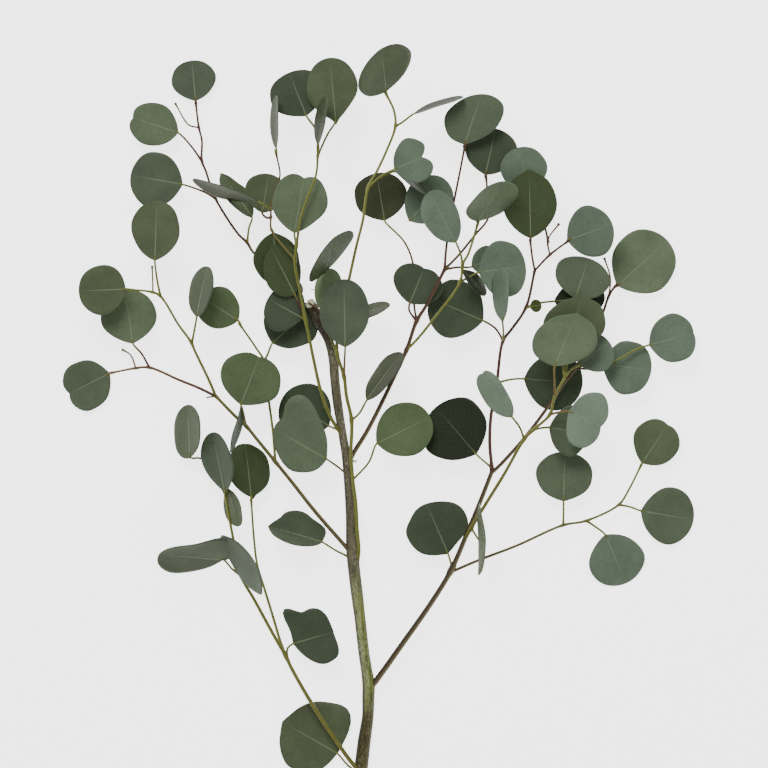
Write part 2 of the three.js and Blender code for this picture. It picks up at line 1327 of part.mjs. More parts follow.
// A leaf: its blade, and its petiole from the twig, sunk into the blade's base
function leafSolid(leaf) {
  const { start, along } = bladeFrame(leaf);
  const end = start.addScaledVector(along, PETIOLE_SUNK).toArray();
  const route = [leaf.from, ...(leaf.via ?? []), leaf.base, end];
  const radii = route.map((_, index) =>
    THREE.MathUtils.lerp(PETIOLE_ROOT_RADIUS, PETIOLE_END_RADIUS, index / (route.length - 1)),
  );
  const petiole = solidOf(rod(route, radii, PETIOLE_SIDES, PETIOLE_STEP));
  return solidOf(blade(leaf)).add(petiole);
}

// A spray: its twigs and leaves fused, cut back from the stems that it grows from
function spraySolid({ twigs = [], leaves }, seats) {
  const grown = joined([...twigs.map((twig) => twigSolid(twig)), ...leaves.map(leafSolid)]);
  const seated = grown.subtract(joined(seats));
  const bodies = seated.decompose();
  return bodies.reduce((best, next) => (next.volume() > best.volume() ? next : best));
}

// A large block whose top face passes through a place, turned about +X and then +Z
function cutter(place, tilt, turn) {
  const block = new THREE.BoxGeometry(CUTTER, CUTTER, CUTTER);
  block.translate(0, 0, -CUTTER / 2);
  block.rotateX(tilt);
  block.rotateZ(turn);
  block.translate(...place);
  return solidOf(block);
}

// The main stem, cut on the slant at both ends, with a flat spot where its heel rests
function stemSolid(grow = 0) {
  const route = STEM.map(({ at }) => at);
  const radii = STEM.map(({ radius }) => radius + grow);
  const whole = solidOf(rod(route, radii, STEM_SIDES, STEM_STEP));
  if (grow) {
    return whole;
  }
  const heelCut = cutter([route[1][0], HEEL_Y, 0], -Math.PI / 2 - degrees(HEEL_CUT_SLANT), 0);
  const stubEnd = STEM.at(-2).at;
  const stubCut = cutter(
    [stubEnd[0] - 3, stubEnd[1] + 4, stubEnd[2]],
    Math.PI / 2 - degrees(STUB_CUT_SLANT),
    degrees(42),
  );
  const restCut = cutter([route[1][0], HEEL_Y, 0], 0, 0);
  return whole.subtract(heelCut).subtract(stubCut).subtract(restCut);
}

// A solid as a named mesh
function piece(name, solid, color, roughness) {
  const { vertProperties, triVerts } = solid.getMesh();
  const geometry = new THREE.BufferGeometry();
  geometry.setAttribute("position", new THREE.BufferAttribute(vertProperties, 3));
  geometry.setIndex(new THREE.BufferAttribute(triVerts, 1));
  geometry.computeVertexNormals();
  const material = new THREE.MeshStandardMaterial({ color, roughness, metalness: 0 });
  const mesh = new THREE.Mesh(geometry, material);
  mesh.name = name;
  return mesh;
}

const stemSeat = stemSolid(SEAT_GAP);
const rightSeat = twigSolid(RIGHT_TWIG, SEAT_GAP);
const innerSeat = twigSolid(RIGHT_INNER_TWIG, SEAT_GAP);
const upperLeftSeat = twigSolid(UPPER_LEFT_TWIG, SEAT_GAP);

const branch = new THREE.Group();
branch.name = "eucalyptus_branch";
branch.add(piece("main_stem", stemSolid(), STEM_OLIVE, 0.75));
const sprays = [
  ["heel_leaf", HEEL_LEAF, [stemSeat], LEAF_DARK],
  ["stem_leaf_left", STEM_LEAF_LEFT, [stemSeat], LEAF_DARK],
  ["stem_leaf_big", STEM_LEAF_BIG, [stemSeat], LEAF_GREEN],
  ["stem_leaf_right", STEM_LEAF_RIGHT, [stemSeat], LEAF_GREEN],
  ["stem_leaf_dark", STEM_LEAF_DARK, [stemSeat], LEAF_DARK],
  ["low_left_spray", LOW_LEFT, [stemSeat], LEAF_GREEN],
  ["left_spray", LEFT, [stemSeat], LEAF_GREEN],
  ["upper_left_spray", UPPER_LEFT, [stemSeat], LEAF_GREEN],
  ["far_left_shoot", FAR_LEFT, [upperLeftSeat], LEAF_DARK],
  ["upper_mid_spray", UPPER_MID, [stemSeat], LEAF_GREEN],
  ["upper_right_spray", UPPER_RIGHT, [stemSeat], LEAF_GREEN],
  ["right_spray", RIGHT, [stemSeat], LEAF_GREEN],
  ["right_inner_shoot", RIGHT_INNER, [rightSeat], LEAF_GREEN],
  ["right_outer_shoot", RIGHT_OUTER, [rightSeat, innerSeat], LEAF_GREEN],
  ["right_mid_shoot", RIGHT_MID, [rightSeat], LEAF_GREEN],
];
for (const [name, spray, seats, color] of sprays) {
  branch.add(piece(name, spraySolid(spray, seats), color, 0.6));
}

export default branch;
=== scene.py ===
"""Looks of a cut silver-dollar eucalyptus branch that lies on a pale floor.

The branch grows along +Y and is seen from straight above. All places are in millimetres, in the
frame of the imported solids, and are turned into metres when a mesh is made.
"""

from __future__ import annotations

import logging
import math
import random
from collections.abc import Callable, Sequence
from dataclasses import dataclass
from enum import Enum

import bpy
import numpy as np
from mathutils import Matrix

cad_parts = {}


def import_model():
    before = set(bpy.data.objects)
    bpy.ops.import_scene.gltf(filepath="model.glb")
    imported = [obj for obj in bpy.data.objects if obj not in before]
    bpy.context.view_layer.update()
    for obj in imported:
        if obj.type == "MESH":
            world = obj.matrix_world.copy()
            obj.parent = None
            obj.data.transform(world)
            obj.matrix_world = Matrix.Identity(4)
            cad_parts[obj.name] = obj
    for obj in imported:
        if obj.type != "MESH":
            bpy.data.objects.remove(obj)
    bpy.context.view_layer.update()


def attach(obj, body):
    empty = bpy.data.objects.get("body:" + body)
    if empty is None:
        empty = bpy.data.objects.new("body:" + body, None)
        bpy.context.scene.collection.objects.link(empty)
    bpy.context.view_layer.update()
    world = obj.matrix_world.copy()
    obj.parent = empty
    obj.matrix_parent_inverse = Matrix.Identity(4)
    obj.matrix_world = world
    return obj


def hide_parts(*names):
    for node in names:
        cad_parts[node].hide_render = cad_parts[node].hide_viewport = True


LOG = logging.getLogger("eucalyptus")

Point = tuple[float, float, float]
Plan = tuple[float, float]
Colour = tuple[float, float, float]
Band = tuple[float, ...]
Place = Callable[[np.ndarray, np.ndarray], np.ndarray]

MM = 0.001
MM_PER_CM = 10.0
SMALLEST_GAP = 1e-6
BODY = "root"

# Blades
BLADE_COLUMNS = 16
BLADE_ROWS = 22
BLADE_THICKNESS = 0.45
BASE_WEDGE = 0.11
WEDGE_PEAK = 0.91
NOTCH_SPREAD = 0.6
FOLD_SOFTNESS = 0.12
MARGIN_WAVE = 0.026
MARGIN_TURNS = (3, 5)
FACE_WAVE = 0.03
FACE_TURNS = (2, 3)
LEAST_WAVE = 0.4
TONE_SPREAD = 0.07

# Petioles and twigs
PETIOLE_COLUMNS = 6
PETIOLE_STEP = 3.0
PETIOLE_ROOT = 1.08
PETIOLE_END = 0.88
PETIOLE_SUNK = 5.0
PETIOLE_TAPER = 0.25
PETIOLE_GREEN_FROM = 0.35
TWIG_COLUMNS = 8
TWIG_STEP = 3.0
TWIG_SKIN = 0.15
JOINT_SWELL = 0.4
JOINT_REACH = 2.6
BUD_SWELL = 0.9
BUD_REACH = 2.2

# Side of a twig that shows its first colour; the two sides differ partly in their own colour, partly by
# painted light and shade
BARK_SIDE = (-0.68, 0.68, 0.1)
BARK_SIDE_BLEND = 0.35

# Reach within which vertices merge, in metres
WELD_REACH = 0.00002

# Blotches
MOTTLE_DETAIL = 4.0
MOTTLE_ROUGHNESS = 0.6
NOISE_MIDDLE = 0.5

# Veins, in centimetres on the flat blade
MIDRIB_ROOT = 0.055
MIDRIB_TIP = 0.025
VEIN_SPACING = 0.5
VEIN_WIDTH = 0.035
VEIN_SLANT = 0.9
VEIN_STRAY = 0.35
VEIN_STRAY_SCALE = 1.6
VEIN_STRAY_DETAIL = 2.0

# Where veins fade, as shares of the midrib's half width, of the length and of the half width
MIDRIB_CORE = (0.5, 1.3)
MIDRIB_FADE_FROM = 0.55
MIDRIB_FADED = 0.15
VEIN_FADE = (0.55, 0.98)
MARGIN_FROM = 0.93

# Main stem
CUT_ANGLE = 50.0
BARK_SLOT = 0
WOOD_SLOT = 1
STEM_COLUMNS = 28
STEM_STEP = 3.0
HEEL_Y = -308.8
HEEL_SLANT = 24.0

# Camera and light
FRAME_CENTRE = (4.0, 36.8)
FRAME_WIDTH = 614.4
MIDDLE_HEIGHT = 32.0
LENS = 400.0
SENSOR = 36.0
CAMERA_REACH = 100.0
FLOOR_SIZE = 12.0
WORLD_LIGHT = 0.6
WHITE = (1.0, 1.0, 1.0, 1.0)


class Tone(Enum):
    """Named leaf colours, as linear red, green and blue."""

    # DEEP also paints the shade on leaves that lie in the shadow of others
    DEEP = (0.018, 0.024, 0.012)
    UMBER = (0.033, 0.040, 0.018)
    DARK = (0.045, 0.061, 0.035)
    MOSS = (0.042, 0.059, 0.024)
    SMOKE = (0.056, 0.070, 0.040)
    SLATE = (0.062, 0.081, 0.050)
    OLIVE = (0.070, 0.088, 0.046)
    FRESH = (0.077, 0.109, 0.050)
    MID = (0.077, 0.101, 0.061)
    MEADOW = (0.095, 0.125, 0.072)
    SAGE = (0.098, 0.133, 0.091)
    # SPRING partly paints light on a leaf that the leaf above it shades
    SPRING = (0.135, 0.178, 0.092)
    PALE = (0.140, 0.188, 0.132)
    SPROUT = (0.045, 0.062, 0.016)


class Bark(Enum):
    """Named twig colours: the side towards the top left, then the other side, partly painted light and
    shade.
    """

    # LIME's second colour is its painted shaded side
    LIME = ((0.150, 0.160, 0.034), (0.100, 0.105, 0.016))
    OLIVE = ((0.120, 0.116, 0.022), (0.100, 0.094, 0.018))
    BROWN = ((0.028, 0.017, 0.009), (0.145, 0.120, 0.054))
    RED = ((0.060, 0.022, 0.016), (0.085, 0.042, 0.022))
    TAN = ((0.150, 0.085, 0.036), (0.110, 0.090, 0.030))


@dataclass(frozen=True)
class Lobe:
    """A place where a blade's margin bulges, or draws in.

    The turn is counted in degrees from the base, to the right where positive; 180 is the tip. The
    push is a share of the distance from the middle of the blade.
    """

    turn: float
    push: float
    reach: float


POINTED = Lobe(180, 0.09, 9)
POINTED_BASE = Lobe(0, 0.15, 14)


@dataclass(frozen=True)
class Leaf:
    """One leaf: its petiole's route from the twig, and its blade.

    The tip is given in plan; the height of the tip follows from the rise.
    """

    route: tuple[Point, ...]
    base: Point
    tip: Plan
    width: float
    tone: Tone
    rise: float = 0.0
    roll: float = 0.0
    fold: float = 5.0
    bend: float = 0.03
    notch: float = 0.0
    skew: float = 0.0
    rib: float = 1.0
    bark: Bark = Bark.LIME
    lobes: tuple[Lobe, ...] = ()


@dataclass(frozen=True)
class Twig:
    """A bare length of twig, with its radius and colour at its root and at its end."""

    route: tuple[Point, ...]
    root: float
    end: float
    bark: Bark
    bark_end: Bark
    bud: bool = False


@dataclass(frozen=True)
class Spray:
    """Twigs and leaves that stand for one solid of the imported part."""

    node: str
    leaves: tuple[Leaf, ...]
    twigs: tuple[Twig, ...] = ()


@dataclass(frozen=True)
class StemPlace:
    """A place on the main stem's centre line, and the stem's radius there."""

    at: Point
    radius: float


STEM = (
    StemPlace((-19.4, -322, 5.0), 5.6),
    StemPlace((-16.5, -290, 5.0), 5.6),
    StemPlace((-14, -268, 5.3), 5.5),
    StemPlace((-11.9, -250, 6.2), 5.3),
    StemPlace((-9, -230, 7.4), 4.7),
    StemPlace((-8.6, -215, 8.3), 5.0),
    StemPlace((-8.4, -204, 9), 5.2),
    StemPlace((-9.8, -194, 9.7), 4.6),
    StemPlace((-12, -180, 10.6), 4.5),
    StemPlace((-15.4, -150, 12.6), 4.5),
    StemPlace((-17.4, -134, 13.6), 4.9),
    StemPlace((-20, -112, 15), 4.9),
    StemPlace((-21.5, -96, 16), 5.0),
    StemPlace((-22.5, -70, 17.5), 4.2),
    StemPlace((-24, -45, 19), 4.0),
    StemPlace((-26.5, -20, 20.5), 3.6),
    StemPlace((-29.8, 0, 22), 3.4),
    StemPlace((-33, 20, 24), 3.8),
    StemPlace((-35.3, 40, 26), 3.8),
    StemPlace((-37, 60, 28), 4.0),
    StemPlace((-40.5, 72, 29), 3.6),
    StemPlace((-44.5, 80, 30), 3.9),
    StemPlace((-49.5, 89, 31), 4.5),
    StemPlace((-52.5, 97, 32), 4.1),
    StemPlace((-59, 107, 33), 4.0),
)
STEM_NUB = Twig(
    ((-25, -24.5, 20.5), (-20, -25, 21.5), (-17.6, -25.2, 21.8)), 1.2, 0.9, Bark.BROWN, Bark.BROWN
)
STUB_CUT = (-55.0, 102.0, 32.0)
STUB_NORMAL = (-0.527, 0.585, 0.616)

HEEL_LEAF = Spray(
    "heel_leaf",
    (
        Leaf(
            ((-15, -277, 4), (-25, -269.5, 3.6)), (-33.5, -260, 3.4), (-76, -235.5), 60, Tone.OLIVE,
            rise=-3, fold=3, bend=0,
            lobes=(Lobe(58, 0.38, 30), Lobe(-100, -0.08, 40), Lobe(-45, 0.1, 25), POINTED),
        ),
    ),
)

STEM_LEAF_LEFT = Spray(
    "stem_leaf_left",
    (
        Leaf(
            ((-24, -102, 14), (-35, -96.5, 15)), (-45.5, -90, 17), (-87, -77), 40, Tone.DARK, roll=-42,
            fold=25, lobes=(Lobe(38, 0.25, 18), Lobe(148, -0.1, 14), POINTED),
        ),
    ),
)

STEM_LEAF_BIG = Spray(
    "stem_leaf_big",
    (
        Leaf(
            ((-24, -37, 20), (-33, -29.5, 28)), (-41.5, -23.5, 33), (-84, 1), 48, Tone.MID, rise=4,
            skew=0.35, bark=Bark.TAN,
            lobes=(Lobe(100, 0.42, 36), Lobe(150, -0.16, 15), Lobe(-75, -0.14, 40), Lobe(48, 0.14, 22)),
        ),
    ),
)

STEM_LEAF_RIGHT = Spray(
    "stem_leaf_right",
    (
        Leaf(((-23, -42, 19), (-8, -25.6, 24)), (-2, -11, 27), (41, 10.5), 44, Tone.FRESH, rise=4),
    ),
)

STEM_LEAF_DARK = Spray(
    "stem_leaf_dark",
    (
        Leaf(((-29.5, -1, 20),), (-40, 3, 16), (-77, 27), 44, Tone.DARK, rise=-3),
    ),
)

LOW_LEFT = Spray(
    "low_left_spray",
    (
        Leaf(
            ((-74, -181, 16), (-73.3, -175, 16.5)), (-69, -171.5, 17), (-37, -162), 46, Tone.DARK,
            rise=4, fold=10, skew=0.15,
            lobes=(Lobe(-62, 0.52, 18), Lobe(-96, -0.04, 12), Lobe(140, 0.12, 22), Lobe(-140, 0.28, 26)),
        ),
        Leaf(
            ((-110.5, -117, 23), (-118, -111, 25)), (-124.5, -103.8, 27), (-176, -100.4), 44, Tone.SMOKE,
            roll=56, skew=-0.4, lobes=(Lobe(66, 0.75, 24), Lobe(25, 0.3, 16)),
        ),
        Leaf(
            ((-112, -113, 23),), (-115.5, -111.5, 27), (-101.5, -102.5), 57, Tone.DARK, rise=68, rib=0.0,
        ),
        Leaf(((-122.5, -54, 28),), (-120.5, -47, 27), (-113, -77.5), 27, Tone.OLIVE, roll=-58),
        Leaf(
            ((-123, -52.5, 28),), (-123, -50, 33), (-134, -2), 42, Tone.DARK, rise=4, roll=54,
            lobes=(Lobe(-50, -0.13, 30),),
        ),
        Leaf(
            ((-122.5, -53, 28), (-131, -38, 15), (-142, -23, 17)), (-151.3, -22.3, 20), (-153.8, 20.2),
            38, Tone.SMOKE, roll=54, lobes=(Lobe(-42, 0.22, 25),),
        ),
        Leaf(
            ((-102.5, -57, 18.5),), (-102.5, -54, 18.5), (-107, -10), 36, Tone.MOSS, rise=-4, roll=-25,
            notch=0.02, lobes=(Lobe(150, -0.05, 20), Lobe(12, 0.12, 8), Lobe(58, 0.08, 30)),
        ),
    ),
    (
        Twig(
            (
                (-13, -277, 7), (-22, -267, 9), (-30, -256, 10.5), (-50, -226, 13), (-70, -191.5, 15),
                (-74.5, -182, 16), (-85, -163.5, 18), (-100, -136, 21), (-110.5, -117, 23),
                (-114.5, -98, 24.5), (-118.5, -78, 26), (-123, -52, 28),
            ),
            1.7, 0.9, Bark.OLIVE, Bark.LIME,
        ),
        Twig(
            (
                (-74.5, -182, 16), (-79, -170, 15), (-85, -150, 15), (-92, -127, 15),
                (-97.5, -109, 15.5), (-100, -90, 16.5), (-102.5, -56, 18.5),
            ),
            1.1, 0.7, Bark.LIME, Bark.LIME,
        ),
    ),
)

LEFT = Spray(
    "left_spray",
    (
        Leaf(
            ((-214, 46, 9.9),), (-216, 45.5, 9.2), (-252, 27.5), 41.5, Tone.MID, rise=-12, notch=0.08,
            bark=Bark.TAN,
        ),
        Leaf(
            ((-184, 50, 22), (-190, 61, 25)), (-197, 69, 26), (-203.5, 112), 45, Tone.MEADOW,
            bark=Bark.RED,
        ),
        Leaf(
            ((-149.5, 69.5, 43), (-147.3, 80, 46)), (-145.5, 90, 49), (-138, 131), 34, Tone.SMOKE,
            roll=56,
        ),
        Leaf(
            ((-200, 112.3, 48),), (-202, 112.5, 48), (-240, 111), 40, Tone.OLIVE, rise=-4,
            lobes=(Lobe(48, 0.13, 25),),
        ),
        Leaf(
            ((-174.5, 107, 48), (-177, 120, 51)), (-178.8, 135, 54), (-177.2, 183.2), 39, Tone.OLIVE,
            rise=-3,
        ),
        Leaf(
            ((-106.5, 3, 30), (-108.5, 10, 34)), (-110.5, 20, 36), (-95, 60.5), 50, Tone.FRESH, rise=2,
            notch=0.05,
        ),
        Leaf(((-106.5, 3, 30), (-108, 12, 41)), (-110, 19, 50), (-117.5, -18), 34, Tone.DARK, roll=82),
        Leaf(((-111, 84, 25.7),), (-112.5, 87.5, 26), (-143, 107), 34, Tone.FRESH, rise=3),
        Leaf(
            ((-92, 55, 22), (-89, 61, 22.5)), (-85.5, 69.5, 24), (-54, 98), 42, Tone.DARK, rise=2,
            lobes=(Lobe(-54, 0.16, 30), Lobe(80, -0.1, 30)),
        ),
    ),
    (
        Twig(
            (
                (-22, -99, 16), (-51.5, -65, 21), (-70.4, -41, 24), (-96, -9.5, 28), (-106.5, 3.3, 30),
                (-115, 11, 31), (-130.5, 27, 33),
            ),
            1.6, 1.1, Bark.BROWN, Bark.OLIVE,
        ),
        Twig(
            (
                (-130.5, 27, 33), (-145, 34, 31), (-160, 40, 28), (-184, 50, 22), (-195, 49.5, 18),
                (-216, 45.5, 9.2),
            ),
            1.1, 0.7, Bark.RED, Bark.TAN,
        ),
        Twig(
            ((-195, 49.5, 18), (-199, 60, 20), (-206, 64.5, 22)), 0.6, 0.5, Bark.RED, Bark.BROWN,
            bud=True,
        ),
        Twig(
            (
                (-130.5, 27, 33), (-136, 40, 37), (-147, 63, 42), (-150, 70, 43), (-160, 84, 45),
                (-174.5, 107, 48), (-180.5, 110, 48), (-202, 112.5, 48),
            ),
            1.1, 0.7, Bark.LIME, Bark.LIME,
        ),
        Twig(((-130.5, 27, 33), (-138, 26, 33.5)), 0.6, 0.5, Bark.OLIVE, Bark.BROWN),
        Twig(
            ((-180.5, 110, 48), (-180.5, 118, 50), (-181, 131, 53)), 0.6, 0.5, Bark.LIME, Bark.LIME,
            bud=True,
        ),
        Twig(
            (
                (-83, -25.5, 26), (-85, -1, 24), (-88.5, 25, 22), (-92, 55, 22), (-98, 65, 23),
                (-112.5, 86, 26),
            ),
            1.0, 0.7, Bark.LIME, Bark.LIME,
        ),
    ),
)

UPPER_LEFT = Spray(
    "upper_left_spray",
    (
        Leaf(((-58.5, 87, 44),), (-61, 89.5, 40), (-89, 105), 40, Tone.DARK),
        Leaf(
            ((-59.5, 92, 45), (-64, 101, 44)), (-67, 108, 44), (-86.5, 146), 32, Tone.MOSS, rise=-2,
            skew=0.3, bark=Bark.RED,
        ),
        Leaf(((-86, 160, 47),), (-84.5, 158, 44), (-80, 117), 37, Tone.MOSS, rise=-14),
        Leaf(
            ((-66, 147, 54),), (-67.5, 157, 50), (-59, 205.5), 45, Tone.MEADOW, notch=0.09,
            lobes=(Lobe(52, -0.1, 28),),
        ),
        Leaf(((-48.6, 225, 65),), (-48.5, 227, 67), (-43.5, 266), 36, Tone.UMBER, roll=76, rib=0.3),
        Leaf(
            ((-48.6, 226, 65), (-50, 239, 50)), (-58, 251, 40), (-72, 286), 46, Tone.DARK, rise=-6,
            bark=Bark.TAN,
        ),
        Leaf(
            ((-49, 218, 63), (-41, 236, 50)), (-34.5, 247, 46), (-39.5, 297.5), 41, Tone.OLIVE, rise=-2,
            lobes=(POINTED_BASE, Lobe(52, -0.1, 28)),
        ),
        Leaf(((-86, 176, 47),), (-96, 182, 52), (-149, 198.5), 36, Tone.UMBER, rise=3, roll=76, rib=0.3),
        Leaf(
            ((-86, 170, 47), (-89.5, 169.5, 42)), (-93.5, 173.5, 37), (-88, 205), 34, Tone.OLIVE,
            rise=-3, bark=Bark.RED,
        ),
        Leaf(((-82, 220, 51.5),), (-82, 224, 52), (-83, 267), 36, Tone.UMBER, roll=79, rib=0.3),
    ),
    (
        Twig(
            (
                (-29.5, -4, 23), (-34, 2, 26), (-40, 13, 29), (-46.5, 31, 33), (-52, 55, 38),
                (-55, 70, 41), (-58, 85, 44), (-63, 110, 48), (-67, 133, 52), (-66, 145, 54),
                (-62, 170, 58), (-55, 190, 60), (-50, 204, 61), (-48.5, 227, 65),
            ),
            1.35, 0.75, Bark.LIME, Bark.LIME,
        ),
        Twig(
            (
                (-67, 136, 52.5), (-76, 146, 50), (-86, 160, 47), (-86.3, 170, 47), (-86, 180, 47),
                (-84, 188, 48), (-79, 203, 50), (-81, 216, 51), (-83, 224, 52),
            ),
            0.6, 0.6, Bark.OLIVE, Bark.RED,
        ),
    ),
)

FAR_LEFT = Spray(
    "far_left_shoot",
    (
        Leaf(
            ((-147, 262, 7.6),), (-147.2, 264, 7.3), (-150.5, 297), 36, Tone.SLATE, rise=-10,
            bark=Bark.RED,
        ),
        Leaf(
            ((-142, 215.5, 19), (-151, 228, 20)), (-160.7, 238, 20), (-199.8, 251.2), 35, Tone.MEADOW,
            rise=-4, notch=0.06, bark=Bark.RED,
        ),
        Leaf(
            ((-131, 185.5, 24), (-141, 191, 27)), (-157, 196.5, 28), (-199, 204), 45, Tone.SLATE,
            bark=Bark.RED,
        ),
        Leaf(
            ((-105.5, 150, 29), (-104, 162, 30)), (-101.5, 170, 30), (-125, 205), 27, Tone.MOSS, rise=-4,
            roll=-50, lobes=(POINTED, Lobe(125, -0.2, 30)),
        ),
    ),
    (
        Twig(
            (
                (-62, 110, 48), (-61.6, 113, 41), (-65, 119, 34), (-70, 124, 30.5), (-80, 131, 28.5),
                (-100.5, 142, 28), (-105.5, 150, 29), (-112, 156, 28), (-131, 185.5, 24),
                (-139, 208, 20), (-142, 215.5, 19), (-142, 232, 16), (-144.5, 242.5, 14),
                (-147.2, 263, 7.3),
            ),
            1.1, 0.7, Bark.BROWN, Bark.RED,
        ),
        Twig(
            ((-144.5, 242.5, 14), (-152.5, 244.5, 16), (-163.5, 262, 21)), 0.6, 0.5, Bark.RED,
            Bark.BROWN, bud=True,
        ),
    ),
)

UPPER_MID = Spray(
    "upper_mid_spray",
    (
        Leaf(((-22, 8, 28), (-16, 13, 31)), (-10, 23.5, 34), (17.5, 62.5), 36, Tone.UMBER, roll=62),
        Leaf(
            ((-28, 43, 37), (-27.5, 55, 44)), (-27, 66, 50), (-28, 120.5), 40, Tone.SLATE, rise=2,
            bark=Bark.TAN,
        ),
        # Its pale SPRING tone partly paints light, lifting the leaf out of the shadow of the leaf above
        Leaf(((-46, 91, 40),), (-43.5, 93, 42), (-38, 129), 22, Tone.SPRING, rise=5),
        Leaf(
            ((-29, 98, 44), (-37, 112, 41)), (-43, 126, 44), (-36, 151), 54, Tone.MOSS, rise=58,
            roll=-62,
        ),
        Leaf(((-31, 88, 43.6),), (-24, 88, 35), (8.5, 101.5), 27, Tone.UMBER, roll=68),
        Leaf(((6, 268, 45),), (5.5, 270, 45), (2.5, 302), 54, Tone.OLIVE, rise=51, roll=-34),
        Leaf(((13, 242.5, 45), (19, 246, 47)), (27, 252, 49), (67, 267), 34, Tone.DEEP, roll=80, rib=0.3),
        Leaf(((-8.5, 194, 48), (2, 203, 50)), (12, 208, 52), (41.5, 221), 37, Tone.SAGE, notch=0.24),
        Leaf(((1, 202, 49.7),), (13, 206.5, 45), (41, 188), 30, Tone.DEEP, rise=-18, roll=76),
    ),
    (
        Twig(
            (
                (-17.5, -108, 16), (-16.3, -96, 19.7), (-17.6, -80, 21.7), (-18.6, -60, 23),
                (-21, -40, 24.5), (-22.5, -20, 26), (-22, 8, 28), (-26, 27, 33), (-28, 43, 37),
                (-33.5, 61, 42), (-33.5, 71, 43), (-30, 95, 44), (-24, 120, 46), (-18, 147, 46),
                (-13, 167, 47), (-8.5, 194, 48), (-2, 206, 47), (6, 223, 46), (13, 242.5, 45),
                (12, 255, 45), (4.3, 271, 45),
            ),
            1.5, 0.8, Bark.LIME, Bark.LIME,
        ),
        Twig(
            ((-33.5, 61, 42), (-40, 77, 40.5), (-48, 96, 40), (-56.5, 101.5, 40)), 0.9, 0.7, Bark.LIME,
            Bark.RED,
        ),
        Twig(((-47, 108, 41), (-50, 111.5, 41.5), (-54.5, 112.5, 42)), 0.3, 0.2, Bark.BROWN, Bark.BROWN),
    ),
)

UPPER_RIGHT = Spray(
    "upper_right_spray",
    (
        Leaf(
            ((30, 87, 35.5), (24, 96, 33)), (24.5, 101, 32), (37, 131.5), 41.5, Tone.DARK, notch=0.07,
            bark=Bark.RED,
        ),
        Leaf(
            ((30, 87.5, 35.5), (28, 101, 27), (27, 134, 25), (20, 151, 24)), (4.5, 167.5, 23), (-2, 206),
            43, Tone.UMBER, rise=-4, bark=Bark.RED,
        ),
        Leaf(((55.5, 160, 35), (38, 171, 20)), (24, 167.5, 23), (54, 200), 37, Tone.SAGE),
        Leaf(((66.6, 131, 50), (65.3, 140, 51)), (61.5, 149.5, 52), (39.5, 190), 38, Tone.SAGE, roll=42),
        Leaf(
            ((68, 226, 41.5),), (68.3, 228, 42), (82, 268.5), 44, Tone.MID, rise=2, skew=0.35,
            bark=Bark.RED,
        ),
        Leaf(((85.6, 202, 32),), (85, 204, 32), (93.5, 241.5), 43, Tone.DARK, rise=-5, bark=Bark.RED),
        Leaf(((79, 165, 50),), (78.5, 166.5, 50), (99, 197), 50, Tone.MEADOW, rise=35, roll=-54),
        Leaf(((64.8, 118.4, 49), (72, 122, 42)), (79.5, 126, 36), (117.5, 131), 47, Tone.SAGE),
        # Its DEEP tone paints the shade this leaf lies in
        Leaf(((66.5, 130, 50),), (67, 128, 43), (85.5, 108), 28, Tone.DEEP, roll=68),
        Leaf(((53, 128.5, 41), (62, 130, 38)), (74, 130.5, 29), (98, 140), 24, Tone.SAGE, bark=Bark.RED),
    ),
    (
        Twig(
            (
                (-24, -26, 20.5), (-20, -18, 22), (-9, 0, 25), (10, 38, 31), (22, 64, 34),
                (30, 87, 35.5), (38, 100, 37), (52.5, 128.5, 41),
            ),
            1.8, 1.1, Bark.BROWN, Bark.RED,
        ),
        Twig(
            (
                (52.5, 128.5, 41), (53.5, 143, 38), (57, 168, 34), (60, 183, 33), (64, 203, 36),
                (68.8, 228, 42),
            ),
            0.9, 0.7, Bark.RED, Bark.RED,
        ),
        Twig(
            (
                (52.5, 128.5, 41), (63, 139, 41), (76.8, 156, 40), (87, 169, 37), (87, 185, 33),
                (85.6, 204, 32),
            ),
            0.9, 0.7, Bark.BROWN, Bark.RED,
        ),
        Twig(
            (
                (22, 64, 34), (30, 72, 37), (43, 88, 42), (64.8, 118.4, 49), (67, 133, 50),
                (71, 140, 50), (79.5, 167, 50),
            ),
            1.0, 0.8, Bark.LIME, Bark.LIME,
        ),
    ),
)

RIGHT = Spray(
    "right_spray",
    (
        Leaf(
            ((58.5, -110, 19),), (55.5, -99.5, 15.5), (38, -59), 49, Tone.DARK, roll=-4, skew=-0.1,
            lobes=(Lobe(-58, 0.16, 30), Lobe(-130, -0.08, 25), Lobe(115, 0.12, 30), Lobe(40, -0.1, 25)),
        ),
        Leaf(
            ((147.8, -76.5, 13.5), (148, -66, 14)), (148, -57.5, 14), (149, -17.5), 46.5, Tone.MID,
            rise=2,
        ),
        Leaf(
            ((166.5, -73, 12), (174, -78, 10)), (181.5, -84, 8.6), (198.8, -123.6), 45, Tone.SAGE,
            rise=-9,
        ),
        Leaf(((210, -29, 9),), (211, -27, 9), (233, 5.5), 38, Tone.OLIVE, rise=-7, notch=0.04),
        Leaf(((192.5, -60, 10), (202, -62, 9)), (210, -65, 8), (253, -72.5), 46, Tone.MID, rise=-7),
    ),
    (
        Twig(
            (
                (-8, -208, 9.5), (-2.5, -201.5, 11), (20, -170, 13.5), (40, -141.5, 16),
                (57, -114, 18.5), (71, -82, 22), (82, -55, 25), (90.3, -33.5, 27.5),
            ),
            2.4, 1.6, Bark.BROWN, Bark.BROWN,
        ),
        Twig(
            (
                (57.5, -114, 18.5), (81, -104, 18), (110, -93, 16), (147.5, -76.5, 13.5), (166, -73, 12),
                (192.5, -60, 10), (200, -49, 9), (211, -27, 9),
            ),
            1.1, 0.7, Bark.BROWN, Bark.LIME,
        ),
    ),
)

